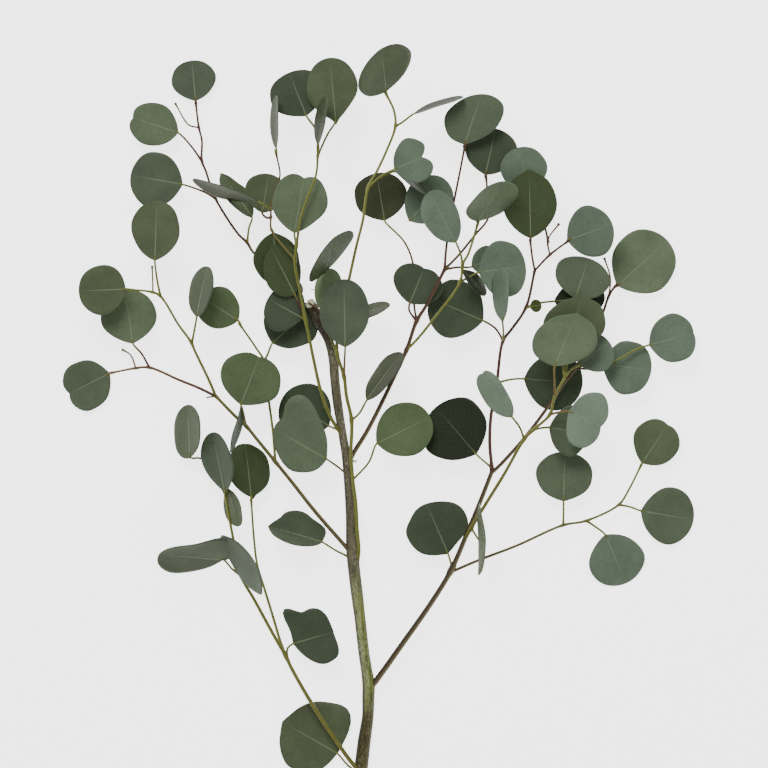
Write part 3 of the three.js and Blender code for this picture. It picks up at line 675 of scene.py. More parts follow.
RIGHT_INNER = Spray(
    "right_inner_shoot",
    (
        Leaf(
            ((90, -30, 28), (84, -25, 24)), (78, -19.5, 21), (45.5, 18.5), 54.5, Tone.DEEP, rise=-5,
            rib=0.5,
        ),
        Leaf(
            ((95, 38, 29), (106, 40.5, 25)), (116, 41, 20), (163.5, 37), 47, Tone.DARK, rise=-5, rib=0.5,
        ),
        Leaf(
            ((99.3, 71.5, 32), (93, 81.5, 26)), (83.5, 87.5, 22), (41, 106), 48, Tone.DARK, rise=-5,
            bark=Bark.RED,
        ),
        Leaf(
            ((99.3, 71.5, 32), (99.3, 79, 44)), (98.5, 87, 57), (96.5, 129.5), 33, Tone.SAGE, roll=66,
            lobes=(POINTED_BASE,),
        ),
        Leaf(((117.5, 98, 35),), (120.5, 98.5, 36), (130, 100), 10.5, Tone.SPROUT),
        # Its DEEP tone paints the shade this leaf lies in, under the leaves above it
        Leaf(
            ((117.5, 98, 35), (129, 101.7, 32)), (140, 103, 29), (181, 107), 28, Tone.DEEP, rise=-3,
            bark=Bark.OLIVE,
        ),
        Leaf(
            ((120.8, 151, 40),), (121.2, 153, 40), (120, 206), 43, Tone.MOSS, rise=6, bark=Bark.RED,
            lobes=(POINTED,),
        ),
        Leaf(
            ((135.2, 150, 39.7), (133, 161, 35), (127, 178, 34)), (120.5, 189.5, 34), (111.5, 226), 37.5,
            Tone.SAGE, rise=2, bark=Bark.RED,
        ),
        Leaf(((151, 151, 38),), (150.3, 151.5, 38), (186.6, 164.7), 42, Tone.SAGE, rise=2, bark=Bark.RED),
    ),
    (
        Twig(
            (
                (90.3, -34.5, 27.5), (90, -27, 28), (88.7, -12, 28), (89.5, 10, 28), (94.3, 38, 29),
                (99.3, 71.5, 32), (106, 80.5, 33), (117.5, 98, 35), (124.5, 127.5, 38),
            ),
            1.3, 0.9, Bark.RED, Bark.RED,
        ),
        Twig(((124.5, 127.5, 38), (122.5, 138, 39), (120.7, 153, 40)), 0.8, 0.7, Bark.RED, Bark.RED),
        Twig(((124.5, 127.5, 38), (136.5, 140, 38), (152.5, 152, 38)), 0.8, 0.7, Bark.RED, Bark.RED),
        Twig(((136.5, 140, 38), (135, 152, 40), (144, 165, 43)), 0.6, 0.5, Bark.RED, Bark.RED, bud=True),
    ),
)

RIGHT_OUTER = Spray(
    "right_outer_shoot",
    (
        Leaf(
            ((190, 115.5, 11.2),), (191, 115.5, 10.8), (232, 152.5), 52, Tone.MEADOW, rise=-9,
            bark=Bark.RED,
        ),
        Leaf(
            ((157, 49.5, 22.3), (168, 49, 20.5)), (179, 53, 19), (218.5, 47.5), 44, Tone.SAGE, rise=-2,
            bark=Bark.RED,
        ),
        Leaf(
            ((158, 51, 22.1), (174, 51.5, 27), (190.5, 56, 26), (206, 64.5, 24)), (216.2, 68, 22),
            (253.6, 78.3), 40, Tone.SAGE, rise=-8, notch=0.03,
        ),
    ),
    (
        Twig(
            (
                (89.5, -35, 27.3), (97, -28, 28), (115, -8, 28), (132, 14, 26), (147, 36, 24),
                (158.5, 51.5, 22), (178.5, 91, 16), (185, 109, 13.5), (191, 117, 10.8),
            ),
            1.4, 0.8, Bark.BROWN, Bark.RED,
        ),
        Twig(
            ((184.5, 108, 13.7), (185.5, 122, 15), (180.5, 138, 18)), 0.6, 0.5, Bark.TAN, Bark.RED,
            bud=True,
        ),
    ),
)

RIGHT_MID = Spray(
    "right_mid_shoot",
    (
        Leaf(((73.8, -78.5, 26.5),), (79.5, -87.5, 29), (84, -87.4), 58, Tone.OLIVE, rise=83, rib=0.0),
        Leaf(
            ((116, -7.5, 39), (112.5, 2, 43)), (106.5, 10, 48), (80.5, 46.5), 38, Tone.PALE, roll=58,
            notch=0.05,
        ),
        Leaf(((123, 0, 41), (129, 1.5, 36)), (136, 2, 32), (168, -3), 41, Tone.MID, rise=-5),
        Leaf(
            ((136.5, 12.5, 44), (144, 14.3, 46)), (151.5, 15, 47), (180, 1), 47, Tone.PALE,
            lobes=(Lobe(-50, 0.12, 25),), notch=0.1, bark=Bark.TAN,
        ),
        Leaf(
            ((140.5, 27.5, 45.5), (140, 40, 49)), (140, 51, 51), (157.5, 91.5), 48, Tone.MEADOW, rise=3,
            skew=0.2, bark=Bark.TAN, lobes=(Lobe(-55, 0.15, 30), POINTED),
        ),
        Leaf(
            ((148.5, 42, 44), (147, 50, 43)), (149, 60, 42), (162, 106), 49, Tone.OLIVE, skew=0.2,
            lobes=(POINTED,),
        ),
        Leaf(
            ((148.5, 42, 44), (152, 65, 36), (154, 90, 33)), (157, 105, 36), (167.5, 137.5), 46,
            Tone.MID, rise=3,
        ),
        Leaf(((148.5, 42, 44), (154, 48.5, 39)), (160, 52, 36), (184, 71), 34, Tone.SAGE, rise=-4),
    ),
    (
        Twig(
            (
                (69, -87, 22), (73.8, -78.5, 26.5), (80, -68, 28.5), (88, -55, 30.5), (100, -35.5, 33.5),
                (116, -7.5, 39), (123, 0, 41), (136.5, 12.5, 44), (140.5, 27.5, 45.5), (148.5, 42, 44),
            ),
            1.4, 0.9, Bark.OLIVE, Bark.LIME,
        ),
    ),
)

SPRAYS = (
    HEEL_LEAF, STEM_LEAF_LEFT, STEM_LEAF_BIG, STEM_LEAF_RIGHT, STEM_LEAF_DARK, LOW_LEFT, LEFT, UPPER_LEFT,
    FAR_LEFT, UPPER_MID, UPPER_RIGHT, RIGHT, RIGHT_INNER, RIGHT_OUTER, RIGHT_MID,
)


def smooth_step(low: float, high: float, values: np.ndarray) -> np.ndarray:
    """Ease from 0 to 1 between two values.

    Args:
        low: Value where the result leaves 0.
        high: Value where the result reaches 1.
        values: The values to ease.

    Returns:
        An array of shares.
    """
    share = np.clip((values - low) / (high - low), 0.0, 1.0)
    return share * share * (3.0 - 2.0 * share)


class Route:
    """A smooth curve through given places, with a frame carried along it."""

    def __init__(self, places: Sequence[Point], step: float) -> None:
        """Sample a centripetal spline.

        Args:
            places: Places on the route, in order.
            step: Length between samples, in millimetres.
        """
        known = np.array(places, float)
        first = 2.0 * known[0] - known[1]
        last = 2.0 * known[-1] - known[-2]
        whole = np.vstack([first, known, last])
        points = [known[0]]
        spans = [0.0]
        for span in range(len(known) - 1):
            ends = whole[span : span + 4]
            count = max(2, round(float(np.linalg.norm(ends[2] - ends[1])) / step))
            for part in range(1, count + 1):
                points.append(self._between(ends, part / count))
                spans.append(span + part / count)
        self.points = np.array(points)
        self.spans = np.array(spans)
        self.along = np.gradient(self.points, axis=0)
        self.along /= np.linalg.norm(self.along, axis=1, keepdims=True)
        self.across, self.third = self._carried()

    @staticmethod
    def _between(ends: np.ndarray, share: float) -> np.ndarray:
        """Find a place between the middle two of four places on a centripetal spline.

        Args:
            ends: Four places.
            share: Share of the way from the second to the third.

        Returns:
            The place.
        """
        knots = [0.0]
        for near, far in zip(ends[:-1], ends[1:]):
            knots.append(knots[-1] + math.sqrt(max(float(np.linalg.norm(far - near)), SMALLEST_GAP)))
        at = knots[1] + share * (knots[2] - knots[1])

        def mixed(near: np.ndarray, far: np.ndarray, low: float, high: float) -> np.ndarray:
            return near + (far - near) * (at - low) / (high - low)

        firsts = [mixed(ends[i], ends[i + 1], knots[i], knots[i + 1]) for i in range(3)]
        seconds = [mixed(firsts[i], firsts[i + 1], knots[i], knots[i + 2]) for i in range(2)]
        return mixed(seconds[0], seconds[1], knots[1], knots[2])

    def _carried(self) -> tuple[np.ndarray, np.ndarray]:
        """Carry a frame along the route without twisting it.

        Returns:
            Two unit vectors across the route at each sample.
        """
        across = np.array([0.0, 0.0, 1.0])
        first = []
        for along in self.along:
            across = across - along * float(across @ along)
            across = across / np.linalg.norm(across)
            first.append(across)
        carried = np.array(first)
        return carried, np.cross(self.along, carried)


class MeshTools:
    """Mesh steps that the twigs, the leaves and the stem share."""

    @staticmethod
    def patch(
        name: str, columns: int, rows: int, place: Place
    ) -> tuple[bpy.types.Object, np.ndarray, np.ndarray]:
        """Make a grid of faces and shape it.

        Args:
            name: Name of the new object.
            columns: Faces across.
            rows: Faces along.
            place: Turns shares across and along into places in millimetres.

        Returns:
            The object, and each vertex's share across and along.
        """
        bpy.ops.mesh.primitive_grid_add(x_subdivisions=columns, y_subdivisions=rows, size=2.0)
        piece = bpy.context.active_object
        piece.name = name
        mesh = piece.data
        flat = np.empty(len(mesh.vertices) * 3)
        mesh.vertices.foreach_get("co", flat)
        shares = (flat.reshape(-1, 3) + 1.0) / 2.0
        across = shares[:, 0]
        along = shares[:, 1]
        mesh.vertices.foreach_set("co", (place(across, along) * MM).ravel())
        mesh.update()
        return piece, across, along

    @staticmethod
    def write_uv(mesh: bpy.types.Mesh, name: str, across: np.ndarray, along: np.ndarray) -> None:
        """Write one value per vertex into a UV map.

        Args:
            mesh: Mesh to write to.
            name: Name of the map.
            across: First value of each vertex.
            along: Second value of each vertex.
        """
        layer = mesh.uv_layers.get(name) or mesh.uv_layers.new(name=name)
        corners = np.empty(len(mesh.loops), np.int32)
        mesh.loops.foreach_get("vertex_index", corners)
        pairs = np.stack([across[corners], along[corners]], axis=1)
        layer.data.foreach_set("uv", pairs.astype(np.float32).ravel())

    @staticmethod
    def write_colour(mesh: bpy.types.Mesh, name: str, colours: np.ndarray, fourth: float = 1.0) -> None:
        """Write one colour per vertex into an attribute.

        Args:
            mesh: Mesh to write to.
            name: Name of the attribute.
            colours: One linear colour per vertex.
            fourth: Value of the fourth channel.
        """
        attribute = mesh.attributes.new(name=name, type="FLOAT_COLOR", domain="POINT")
        four = np.hstack([colours, np.full((len(colours), 1), fourth)])
        attribute.data.foreach_set("color", four.astype(np.float32).ravel())

    @staticmethod
    def activate(piece: bpy.types.Object) -> None:
        """Select one object alone and make it active.

        Args:
            piece: The object.
        """
        bpy.ops.object.select_all(action="DESELECT")
        piece.select_set(True)
        bpy.context.view_layer.objects.active = piece

    @classmethod
    def joined(cls, pieces: Sequence[bpy.types.Object], name: str) -> bpy.types.Object:
        """Join objects into one.

        Args:
            pieces: Objects to join.
            name: Name of the result.

        Returns:
            The joined object.
        """
        cls.activate(pieces[0])
        for piece in pieces:
            piece.select_set(True)
        if len(pieces) > 1:
            bpy.ops.object.join()
        whole = bpy.context.active_object
        whole.name = name
        whole.data.name = name
        return whole

    @classmethod
    def welded(cls, piece: bpy.types.Object, close: bool) -> None:
        """Merge vertices that meet, and close open ends.

        Args:
            piece: Object to weld.
            close: Whether open ends are filled.
        """
        cls.activate(piece)
        bpy.ops.object.mode_set(mode="EDIT")
        bpy.ops.mesh.select_all(action="SELECT")
        bpy.ops.mesh.remove_doubles(threshold=WELD_REACH)
        if close:
            bpy.ops.mesh.select_all(action="SELECT")
            bpy.ops.mesh.fill_holes(sides=0)
        bpy.ops.mesh.select_all(action="SELECT")
        bpy.ops.mesh.normals_make_consistent(inside=False)
        bpy.ops.object.mode_set(mode="OBJECT")
        bpy.ops.object.shade_smooth()

    @classmethod
    def thickened(cls, piece: bpy.types.Object, thickness: float) -> None:
        """Give a sheet its thickness.

        Args:
            piece: The sheet.
            thickness: Thickness in millimetres.
        """
        cls.activate(piece)
        bpy.ops.object.modifier_add(type="SOLIDIFY")
        solidify = piece.modifiers[-1]
        solidify.thickness = thickness * MM
        solidify.offset = 0.0
        bpy.ops.object.modifier_apply(modifier=solidify.name)


class BladeMaker:
    """Makes leaf blades from their measures."""

    def __init__(self, leaf: Leaf, seed: str) -> None:
        """Work out the blade's own axes.

        Args:
            leaf: The leaf.
            seed: Text that fixes the leaf's small irregularities.
        """
        self.leaf = leaf
        self.chance = random.Random(seed)
        base = np.array(leaf.base, float)
        plan = np.array([leaf.tip[0] - base[0], leaf.tip[1] - base[1], 0.0])
        reach = float(np.linalg.norm(plan))
        rise = math.radians(leaf.rise)
        roll = math.radians(leaf.roll)
        ahead = plan / reach
        level = np.array([ahead[1], -ahead[0], 0.0])
        up = np.array([0.0, 0.0, 1.0])
        self.base = base
        self.length = reach / math.cos(rise)
        self.along = ahead * math.cos(rise) + up * math.sin(rise)
        upright = np.cross(level, self.along)
        self.across = level * math.cos(roll) + upright * math.sin(roll)
        self.face = np.cross(self.across, self.along)

    def _waves(self, turns: Sequence[int], size: float) -> Callable[[np.ndarray], np.ndarray]:
        """Make a small smooth irregularity.

        Args:
            turns: Number of waves of each part of it.
            size: Height of each part.

        Returns:
            A function of an angle.
        """
        parts = []
        for turn in turns:
            high = self.chance.uniform(LEAST_WAVE, 1.0) * size
            phase = self.chance.uniform(0, 2 * math.pi)
            parts.append((turn, high, phase))
        return lambda angle: sum(high * np.sin(turn * angle + phase) for turn, high, phase in parts)

    def _pushed(self, side: np.ndarray, angle: np.ndarray) -> np.ndarray:
        """Work out how far the lobes push each place away from the middle of the blade.

        Args:
            side: Share of the way from the midrib to the margin, negative to the left.
            angle: Angle round the blade from its base, in radians.

        Returns:
            A factor for each place.
        """
        factor = np.ones_like(angle)
        turn = np.degrees(angle) * np.where(side < 0.0, -1.0, 1.0)
        weight = 1.0 - np.sin(angle) * (1.0 - side**2)
        for lobe in self.leaf.lobes:
            apart = (turn - lobe.turn + 180.0) % 360.0 - 180.0
            factor = factor + weight * lobe.push * np.exp(-((apart / lobe.reach) ** 2))
        return factor

    def build(self) -> bpy.types.Object:
        """Make the blade as a sheet with its colours and its flat measures.

        Returns:
            The sheet.
        """
        leaf = self.leaf
        half = leaf.width / 2.0
        fold = math.radians(leaf.fold)
        left_wave = self._waves(MARGIN_TURNS, MARGIN_WAVE)
        right_wave = self._waves(MARGIN_TURNS, MARGIN_WAVE)
        face_wave = self._waves(FACE_TURNS, FACE_WAVE)

        def measures(u: np.ndarray, v: np.ndarray) -> tuple[np.ndarray, np.ndarray, np.ndarray, np.ndarray]:
            side = 2.0 * u - 1.0
            angle = math.pi * v
            to_tip = np.maximum(0.0, 1.0 - (math.pi - angle) / NOTCH_SPREAD)
            plain = (1.0 - np.cos(angle)) / 2.0
            rim = plain - leaf.notch * to_tip**2
            middle = plain * (1.0 - leaf.notch)
            spread = np.sin(angle) * np.sqrt(plain / (plain + BASE_WEDGE)) / WEDGE_PEAK
            spread = spread * (1.0 + np.where(side < 0, left_wave(angle), right_wave(angle)))
            share = middle + (rim - middle) * np.abs(side)
            pushed = self._pushed(side, angle)
            return side, angle, 0.5 + (share - 0.5) * pushed, side * spread * pushed

        def place(u: np.ndarray, v: np.ndarray) -> np.ndarray:
            side, angle, share, spread = measures(u, v)
            lifted = np.sqrt(spread**2 + FOLD_SOFTNESS**2) - FOLD_SOFTNESS
            lift = lifted * half * math.sin(fold) - leaf.bend * self.length * share**2
            lift = lift + spread**2 * half * face_wave(np.where(side < 0.0, -angle, angle) + side)
            ahead = share * self.length + leaf.skew * spread * half
            aside = spread * half * math.cos(fold)
            return (
                self.base
                + np.outer(ahead, self.along)
                + np.outer(aside, self.across)
                + np.outer(lift, self.face)
            )

        sheet, u, v = MeshTools.patch("blade", BLADE_COLUMNS, BLADE_ROWS, place)
        side, _, share, spread = measures(u, v)
        mesh = sheet.data
        for layer in list(mesh.uv_layers):
            mesh.uv_layers.remove(layer)
        MeshTools.write_uv(mesh, "blade", spread * half / MM_PER_CM, share * self.length / MM_PER_CM)
        MeshTools.write_uv(mesh, "span", side, share)
        bright = 1.0 + self.chance.uniform(-TONE_SPREAD, TONE_SPREAD)
        tone = np.array(leaf.tone.value) * bright
        MeshTools.write_colour(mesh, "tone", np.tile(tone, (len(mesh.vertices), 1)), leaf.rib)
        return sheet


class RodMaker:
    """Makes round, tapering rods with swollen joints: twigs and petioles."""

    @staticmethod
    def build(
        route: Route,
        radii: np.ndarray,
        columns: int,
        over: np.ndarray,
        under: np.ndarray,
    ) -> bpy.types.Object:
        """Make a rod that is open at its ends.

        Args:
            route: Its centre line.
            radii: Its radius at each sample of the route.
            columns: Faces around it.
            over: Colour of the side that faces the top left, at each sample.
            under: Colour of the other side, at each sample.

        Returns:
            The rod.
        """
        rows = len(route.points) - 1

        def ring(v: np.ndarray) -> np.ndarray:
            return np.rint(v * rows).astype(int)

        def outward(u: np.ndarray, v: np.ndarray) -> np.ndarray:
            turn = 2.0 * math.pi * u
            at = ring(v)
            return route.across[at] * np.cos(turn)[:, None] + route.third[at] * np.sin(turn)[:, None]

        def place(u: np.ndarray, v: np.ndarray) -> np.ndarray:
            at = ring(v)
            return route.points[at] + outward(u, v) * radii[at][:, None]

        rod, u, v = MeshTools.patch("rod", columns, rows, place)
        # Each side of a twig takes its own colour: partly the bark's two tones, partly painted light and
        # shade
        facing = outward(u, v) @ np.array(BARK_SIDE)
        upper = smooth_step(-BARK_SIDE_BLEND, BARK_SIDE_BLEND, facing)[:, None]
        at = ring(v)
        MeshTools.write_colour(rod.data, "bark", under[at] * (1.0 - upper) + over[at] * upper)
        return rod

    @staticmethod
    def _blended(first: Bark, second: Bark, share: np.ndarray) -> list[np.ndarray]:
        """Blend one bark into another, on both sides of a rod.

        Args:
            first: Bark at share 0.
            second: Bark at share 1.
            share: Share of the second at each sample.

        Returns:
            The colours of each side.
        """
        pairs = zip(first.value, second.value)
        return [np.outer(1.0 - share, near) + np.outer(share, far) for near, far in pairs]

    @classmethod
    def twig(cls, twig: Twig, joints: np.ndarray) -> bpy.types.Object:
        """Make a twig.

        Args:
            twig: The twig.
            joints: Places where something grows from it.

        Returns:
            The rod.
        """
        route = Route(twig.route, TWIG_STEP)
        share = np.linspace(0.0, 1.0, len(route.points))
        radii = TWIG_SKIN + twig.root + (twig.end - twig.root) * share
        if len(joints):
            apart = np.linalg.norm(route.points[:, None, :] - joints[None, :, :], axis=2).min(axis=1)
            radii = radii * (1.0 + JOINT_SWELL * np.exp(-((apart / JOINT_REACH) ** 2)))
        if twig.bud:
            to_end = np.linalg.norm(route.points - route.points[-1], axis=1)
            radii = radii * (1.0 + BUD_SWELL * np.exp(-((to_end / BUD_REACH) ** 2)))
        return cls.build(route, radii, TWIG_COLUMNS, *cls._blended(twig.bark, twig.bark_end, share))

    @classmethod
    def petiole(cls, leaf: Leaf, along: np.ndarray) -> bpy.types.Object:
        """Make a leaf's petiole, sunk into the base of the blade.

        Args:
            leaf: The leaf.
            along: Direction of the midrib.

        Returns:
            The rod.
        """
        end = tuple(np.array(leaf.base) + along * PETIOLE_SUNK)
        route = Route((*leaf.route, leaf.base, end), PETIOLE_STEP)
        share = np.linspace(0.0, 1.0, len(route.points))
        to_end = np.linalg.norm(route.points - route.points[-1], axis=1)
        to_root = np.linalg.norm(route.points - route.points[0], axis=1)
        radii = PETIOLE_ROOT + (PETIOLE_END - PETIOLE_ROOT) * share
        radii = radii * (PETIOLE_TAPER + (1.0 - PETIOLE_TAPER) * smooth_step(0.0, PETIOLE_SUNK, to_end))
        radii = radii * (1.0 + JOINT_SWELL * np.exp(-((to_root / JOINT_REACH) ** 2)))
        green = smooth_step(PETIOLE_GREEN_FROM, 1.0, share)
        return cls.build(route, radii, PETIOLE_COLUMNS, *cls._blended(leaf.bark, Bark.LIME, green))


class Graph:
    """Adds nodes to a node tree and links them."""

    def __init__(self, tree: bpy.types.NodeTree) -> None:
        """Keep the tree.

        Args:
            tree: The tree to build in.
        """
        self.tree = tree

    def add(self, kind: str, inputs: dict | None = None, **settings: object) -> bpy.types.Node:
        """Add a node.

        Args:
            kind: Node type.
            inputs: Values, or sockets to link, by the input's name or index.
            **settings: Properties of the node.

        Returns:
            The node.
        """
        node = self.tree.nodes.new(kind)
        for key, value in settings.items():
            setattr(node, key, value)
        for key, value in (inputs or {}).items():
            if isinstance(value, bpy.types.NodeSocket):
                self.tree.links.new(value, node.inputs[key])
            else:
                node.inputs[key].default_value = value
        return node

    def math(self, operation: str, *values: object) -> bpy.types.NodeSocket:
        """Add a sum.

        Args:
            operation: The operation.
            *values: Numbers or sockets.

        Returns:
            The result.
        """
        return self.add("ShaderNodeMath", dict(enumerate(values)), operation=operation).outputs[0]

    def noise(self, vector: object, scale: float, detail: float) -> bpy.types.NodeSocket:
        """Add a noise texture.

        Args:
            vector: Socket of the place.
            scale: Scale of the noise.
            detail: Detail of the noise.

        Returns:
            Its value.
        """
        inputs = {"Vector": vector, "Scale": scale, "Detail": detail}
        return self.add("ShaderNodeTexNoise", inputs).outputs["Fac"]

    def stretched(self, vector: object, scale: Point) -> bpy.types.NodeSocket:
        """Scale a place along each axis.

        Args:
            vector: Socket of the place.
            scale: Factor along each axis.

        Returns:
            The scaled place.
        """
        return self.add("ShaderNodeMapping", {"Vector": vector, "Scale": scale}).outputs["Vector"]

    def attribute(self, name: str) -> bpy.types.NodeOutputs:
        """Read an attribute of the mesh.

        Args:
            name: Name of the attribute.

        Returns:
            The sockets of its colour, value and alpha.
        """
        return self.add("ShaderNodeAttribute", attribute_name=name, attribute_type="GEOMETRY").outputs

    def ease(
        self, value: object, low: object, high: object, start: float = 0.0, end: float = 1.0
    ) -> bpy.types.NodeSocket:
        """Map a value from one range to another, easing at both ends.

        Args:
            value: Number or socket.
            low: Value that maps to start.
            high: Value that maps to end.
            start: Result at low.
            end: Result at high.

        Returns:
            The result.
        """
        inputs = {"Value": value, "From Min": low, "From Max": high, "To Min": start, "To Max": end}
        return self.add("ShaderNodeMapRange", inputs, interpolation_type="SMOOTHSTEP").outputs["Result"]

    def mix(self, share: object, first: object, second: object, blend: str = "MIX") -> bpy.types.NodeSocket:
        """Mix two colours.

        Args:
            share: Share of the second.
            first: Colour or socket.
            second: Colour or socket.
            blend: How they mix.

        Returns:
            The mixed colour.
        """
        node = self.add("ShaderNodeMix", data_type="RGBA", blend_type=blend)
        for key, value in (("Factor_Float", share), ("A_Color", first), ("B_Color", second)):
            socket = next(s for s in node.inputs if s.identifier == key)
            if isinstance(value, bpy.types.NodeSocket):
                self.tree.links.new(value, socket)
            elif isinstance(value, tuple):
                socket.default_value = (*value, 1.0)
            else:
                socket.default_value = value
        return next(s for s in node.outputs if s.identifier == "Result_Color")


class NodeGroups:
    """Shader node groups that the materials share."""

    def __init__(self) -> None:
        """Make every group."""
        self.mottle = self._mottle()
        self.veins = self._veins()

    @staticmethod
    def _new(name: str, inputs: dict[str, str], outputs: dict[str, str]) -> tuple[bpy.types.NodeTree, Graph]:
        """Start a group.

        Args:
            name: Name of the group.
            inputs: Socket type by input name.
            outputs: Socket type by output name.

        Returns:
            The group, and a graph to fill it with.
        """
        group = bpy.data.node_groups.new(name, "ShaderNodeTree")
        for socket, kind in inputs.items():
            group.interface.new_socket(name=socket, in_out="INPUT", socket_type=kind)
        for socket, kind in outputs.items():
            group.interface.new_socket(name=socket, in_out="OUTPUT", socket_type=kind)
        return group, Graph(group)

    def _mottle(self) -> bpy.types.NodeTree:
        """Make soft blotches around 1.

        Returns:
            The group.
        """
        sockets = {"Vector": "NodeSocketVector", "Scale": "NodeSocketFloat", "Depth": "NodeSocketFloat"}
        group, graph = self._new("Mottle", sockets, {"Value": "NodeSocketFloat"})
        given = graph.add("NodeGroupInput").outputs
        inputs = {"Vector": given["Vector"], "Scale": given["Scale"]}
        noise = graph.add(
            "ShaderNodeTexNoise", {**inputs, "Detail": MOTTLE_DETAIL, "Roughness": MOTTLE_ROUGHNESS}
        )
        centred = graph.math("SUBTRACT", noise.outputs["Fac"], NOISE_MIDDLE)
        swing = graph.math("MULTIPLY", centred, given["Depth"])
        graph.add("NodeGroupOutput", {"Value": graph.math("ADD", swing, 1.0)})
        return group

    def _veins(self) -> bpy.types.NodeTree:
        """Make masks for a blade's midrib, side veins and margin.

        Returns:
            The group.
        """
        inputs = {"Blade": "NodeSocketVector", "Span": "NodeSocketVector"}
        outputs = {"Midrib": "NodeSocketFloat", "Veins": "NodeSocketFloat", "Margin": "NodeSocketFloat"}
        group, graph = self._new("Blade veins", inputs, outputs)
        given = graph.add("NodeGroupInput").outputs
        flat = graph.add("ShaderNodeSeparateXYZ", {"Vector": given["Blade"]}).outputs
        span = graph.add("ShaderNodeSeparateXYZ", {"Vector": given["Span"]}).outputs
        aside = graph.math("ABSOLUTE", flat["X"])
        wide = graph.ease(span["Y"], 0.0, 1.0, MIDRIB_ROOT, MIDRIB_TIP)
        inside = graph.math("DIVIDE", aside, wide)
        core = graph.ease(inside, *MIDRIB_CORE, 1.0, 0.0)
        fade = graph.ease(span["Y"], MIDRIB_FADE_FROM, 1.0, 1.0, MIDRIB_FADED)
        midrib = graph.math("MULTIPLY", core, fade)
        stray = graph.noise(given["Blade"], VEIN_STRAY_SCALE, VEIN_STRAY_DETAIL)
        slant = graph.math("MULTIPLY_ADD", aside, -VEIN_SLANT, flat["Y"])
        bent = graph.math("MULTIPLY_ADD", stray, VEIN_STRAY, slant)
        wave = graph.math("PINGPONG", bent, VEIN_SPACING / 2.0)
        line = graph.ease(wave, 0.0, VEIN_WIDTH, 1.0, 0.0)
        edge = graph.math("ABSOLUTE", span["X"])
        veins = graph.math("MULTIPLY", line, graph.ease(edge, *VEIN_FADE, 1.0, 0.0))
        margin = graph.ease(edge, MARGIN_FROM, 1.0, 0.0, 1.0)
        graph.add("NodeGroupOutput", {"Midrib": midrib, "Veins": veins, "Margin": margin})
        return group


@dataclass(frozen=True)
class LeafFinish:
    """Measures of the leaf material."""

    vein: Colour = (0.195, 0.240, 0.150)
    veil: Colour = (0.150, 0.190, 0.140)
    midrib_share: float = 0.5
    vein_share: float = 0.07
    vein_height: float = 0.12
    margin_share: float = 0.22
    mottle_scale: float = 38.0
    mottle_depth: float = 0.75
    grain_scale: float = 420.0
    grain_depth: float = 0.4
    roughness: float = 0.68
    specular: float = 0.12
    bump: float = 0.25
    bump_depth: float = 0.0006


@dataclass(frozen=True)
class BarkFinish:
    """Measures of the twig material."""

    mottle_scale: float = 160.0
    mottle_depth: float = 0.5
    bloom: Colour = (0.300, 0.300, 0.260)
    bloom_share: float = 0.05
    dust_scale: float = 900.0
    dust_detail: float = 2.0
    fleck_band: Band = (0.55, 0.75)
    roughness: float = 0.6
    specular: float = 0.2
    bump: float = 0.2
    bump_depth: float = 0.0003


@dataclass(frozen=True)
class StemFinish:
    """Measures of the main stem's bark, from its heel to its top.

    A band holds the values between which something sets in, and where needed what it is at each.
    """

    heel: Colour = (0.060, 0.050, 0.013)
    green: Colour = (0.125, 0.150, 0.034)
    frosted: Colour = (0.215, 0.245, 0.092)
    grey: Colour = (0.098, 0.087, 0.050)
    # Dark top: partly the stem's own dark brown bark, partly a painted shadow of the leaf that lies over it
    top: Colour = (0.040, 0.031, 0.018)
    # Painted shade along both sides of the stem
    edge: Colour = (0.022, 0.018, 0.009)
    bloom: Colour = (0.330, 0.340, 0.270)
    bloom_share: float = 0.5
    edge_shade_share: float = 0.85
    # Heights where one bark gives way to the next, and where the painted leaf shadow near the top begins
    young_band: Band = (-0.235, -0.205)
    grey_band: Band = (-0.150, -0.105)
    top_shadow_band: Band = (0.055, 0.075)
    bloom_band: Band = (-0.235, -0.200, 0.4, 1.0)
    # Sides of the stem, from its right at 0 to its left at 1
    frosted_band: Band = (0.48, 0.62)
    # Where the painted shade sets in at the left side and at the right side
    left_shade_band: Band = (0.88, 1.02)
    right_shade_band: Band = (0.03, 0.14, 1.0, 0.0)
    # Streaks, dust and drifts of bloom
    streak_stretch: Point = (1.0, 0.12, 1.0)
    streak_scale: float = 420.0
    streak_depth: float = 1.9
    wander_scale: float = 160.0
    wander_detail: float = 3.0
    wander_reach: float = 0.3
    dust_stretch: Point = (1.0, 0.4, 1.0)
    dust_scale: float = 900.0
    dust_detail: float = 3.0
    dust_band: Band = (0.34, 0.52, 0.62, 1.0)
    speck_band: Band = (0.48, 0.66)
    drift_scale: float = 150.0
    drift_detail: float = 2.0
    drift_band: Band = (0.38, 0.66)
    roughness: float = 0.7
    specular: float = 0.25
    bump: float = 0.5
    bump_depth: float = 0.0005


@dataclass(frozen=True)
class WoodFinish:
    """Measures of the pale wood of a cut end."""

    colour: Colour = (0.34, 0.34, 0.21)
    mottle_scale: float = 600.0
    mottle_depth: float = 0.5
    roughness: float = 0.8
    specular: float = 0.2


@dataclass(frozen=True)
class FloorFinish:
    """Measures of the floor, which glows so that shadows stay faint."""

    white: float = 0.9
    glow: float = 2.8
    roughness: float = 1.0
    specular: float = 0.0


Finish = LeafFinish | BarkFinish | StemFinish | WoodFinish


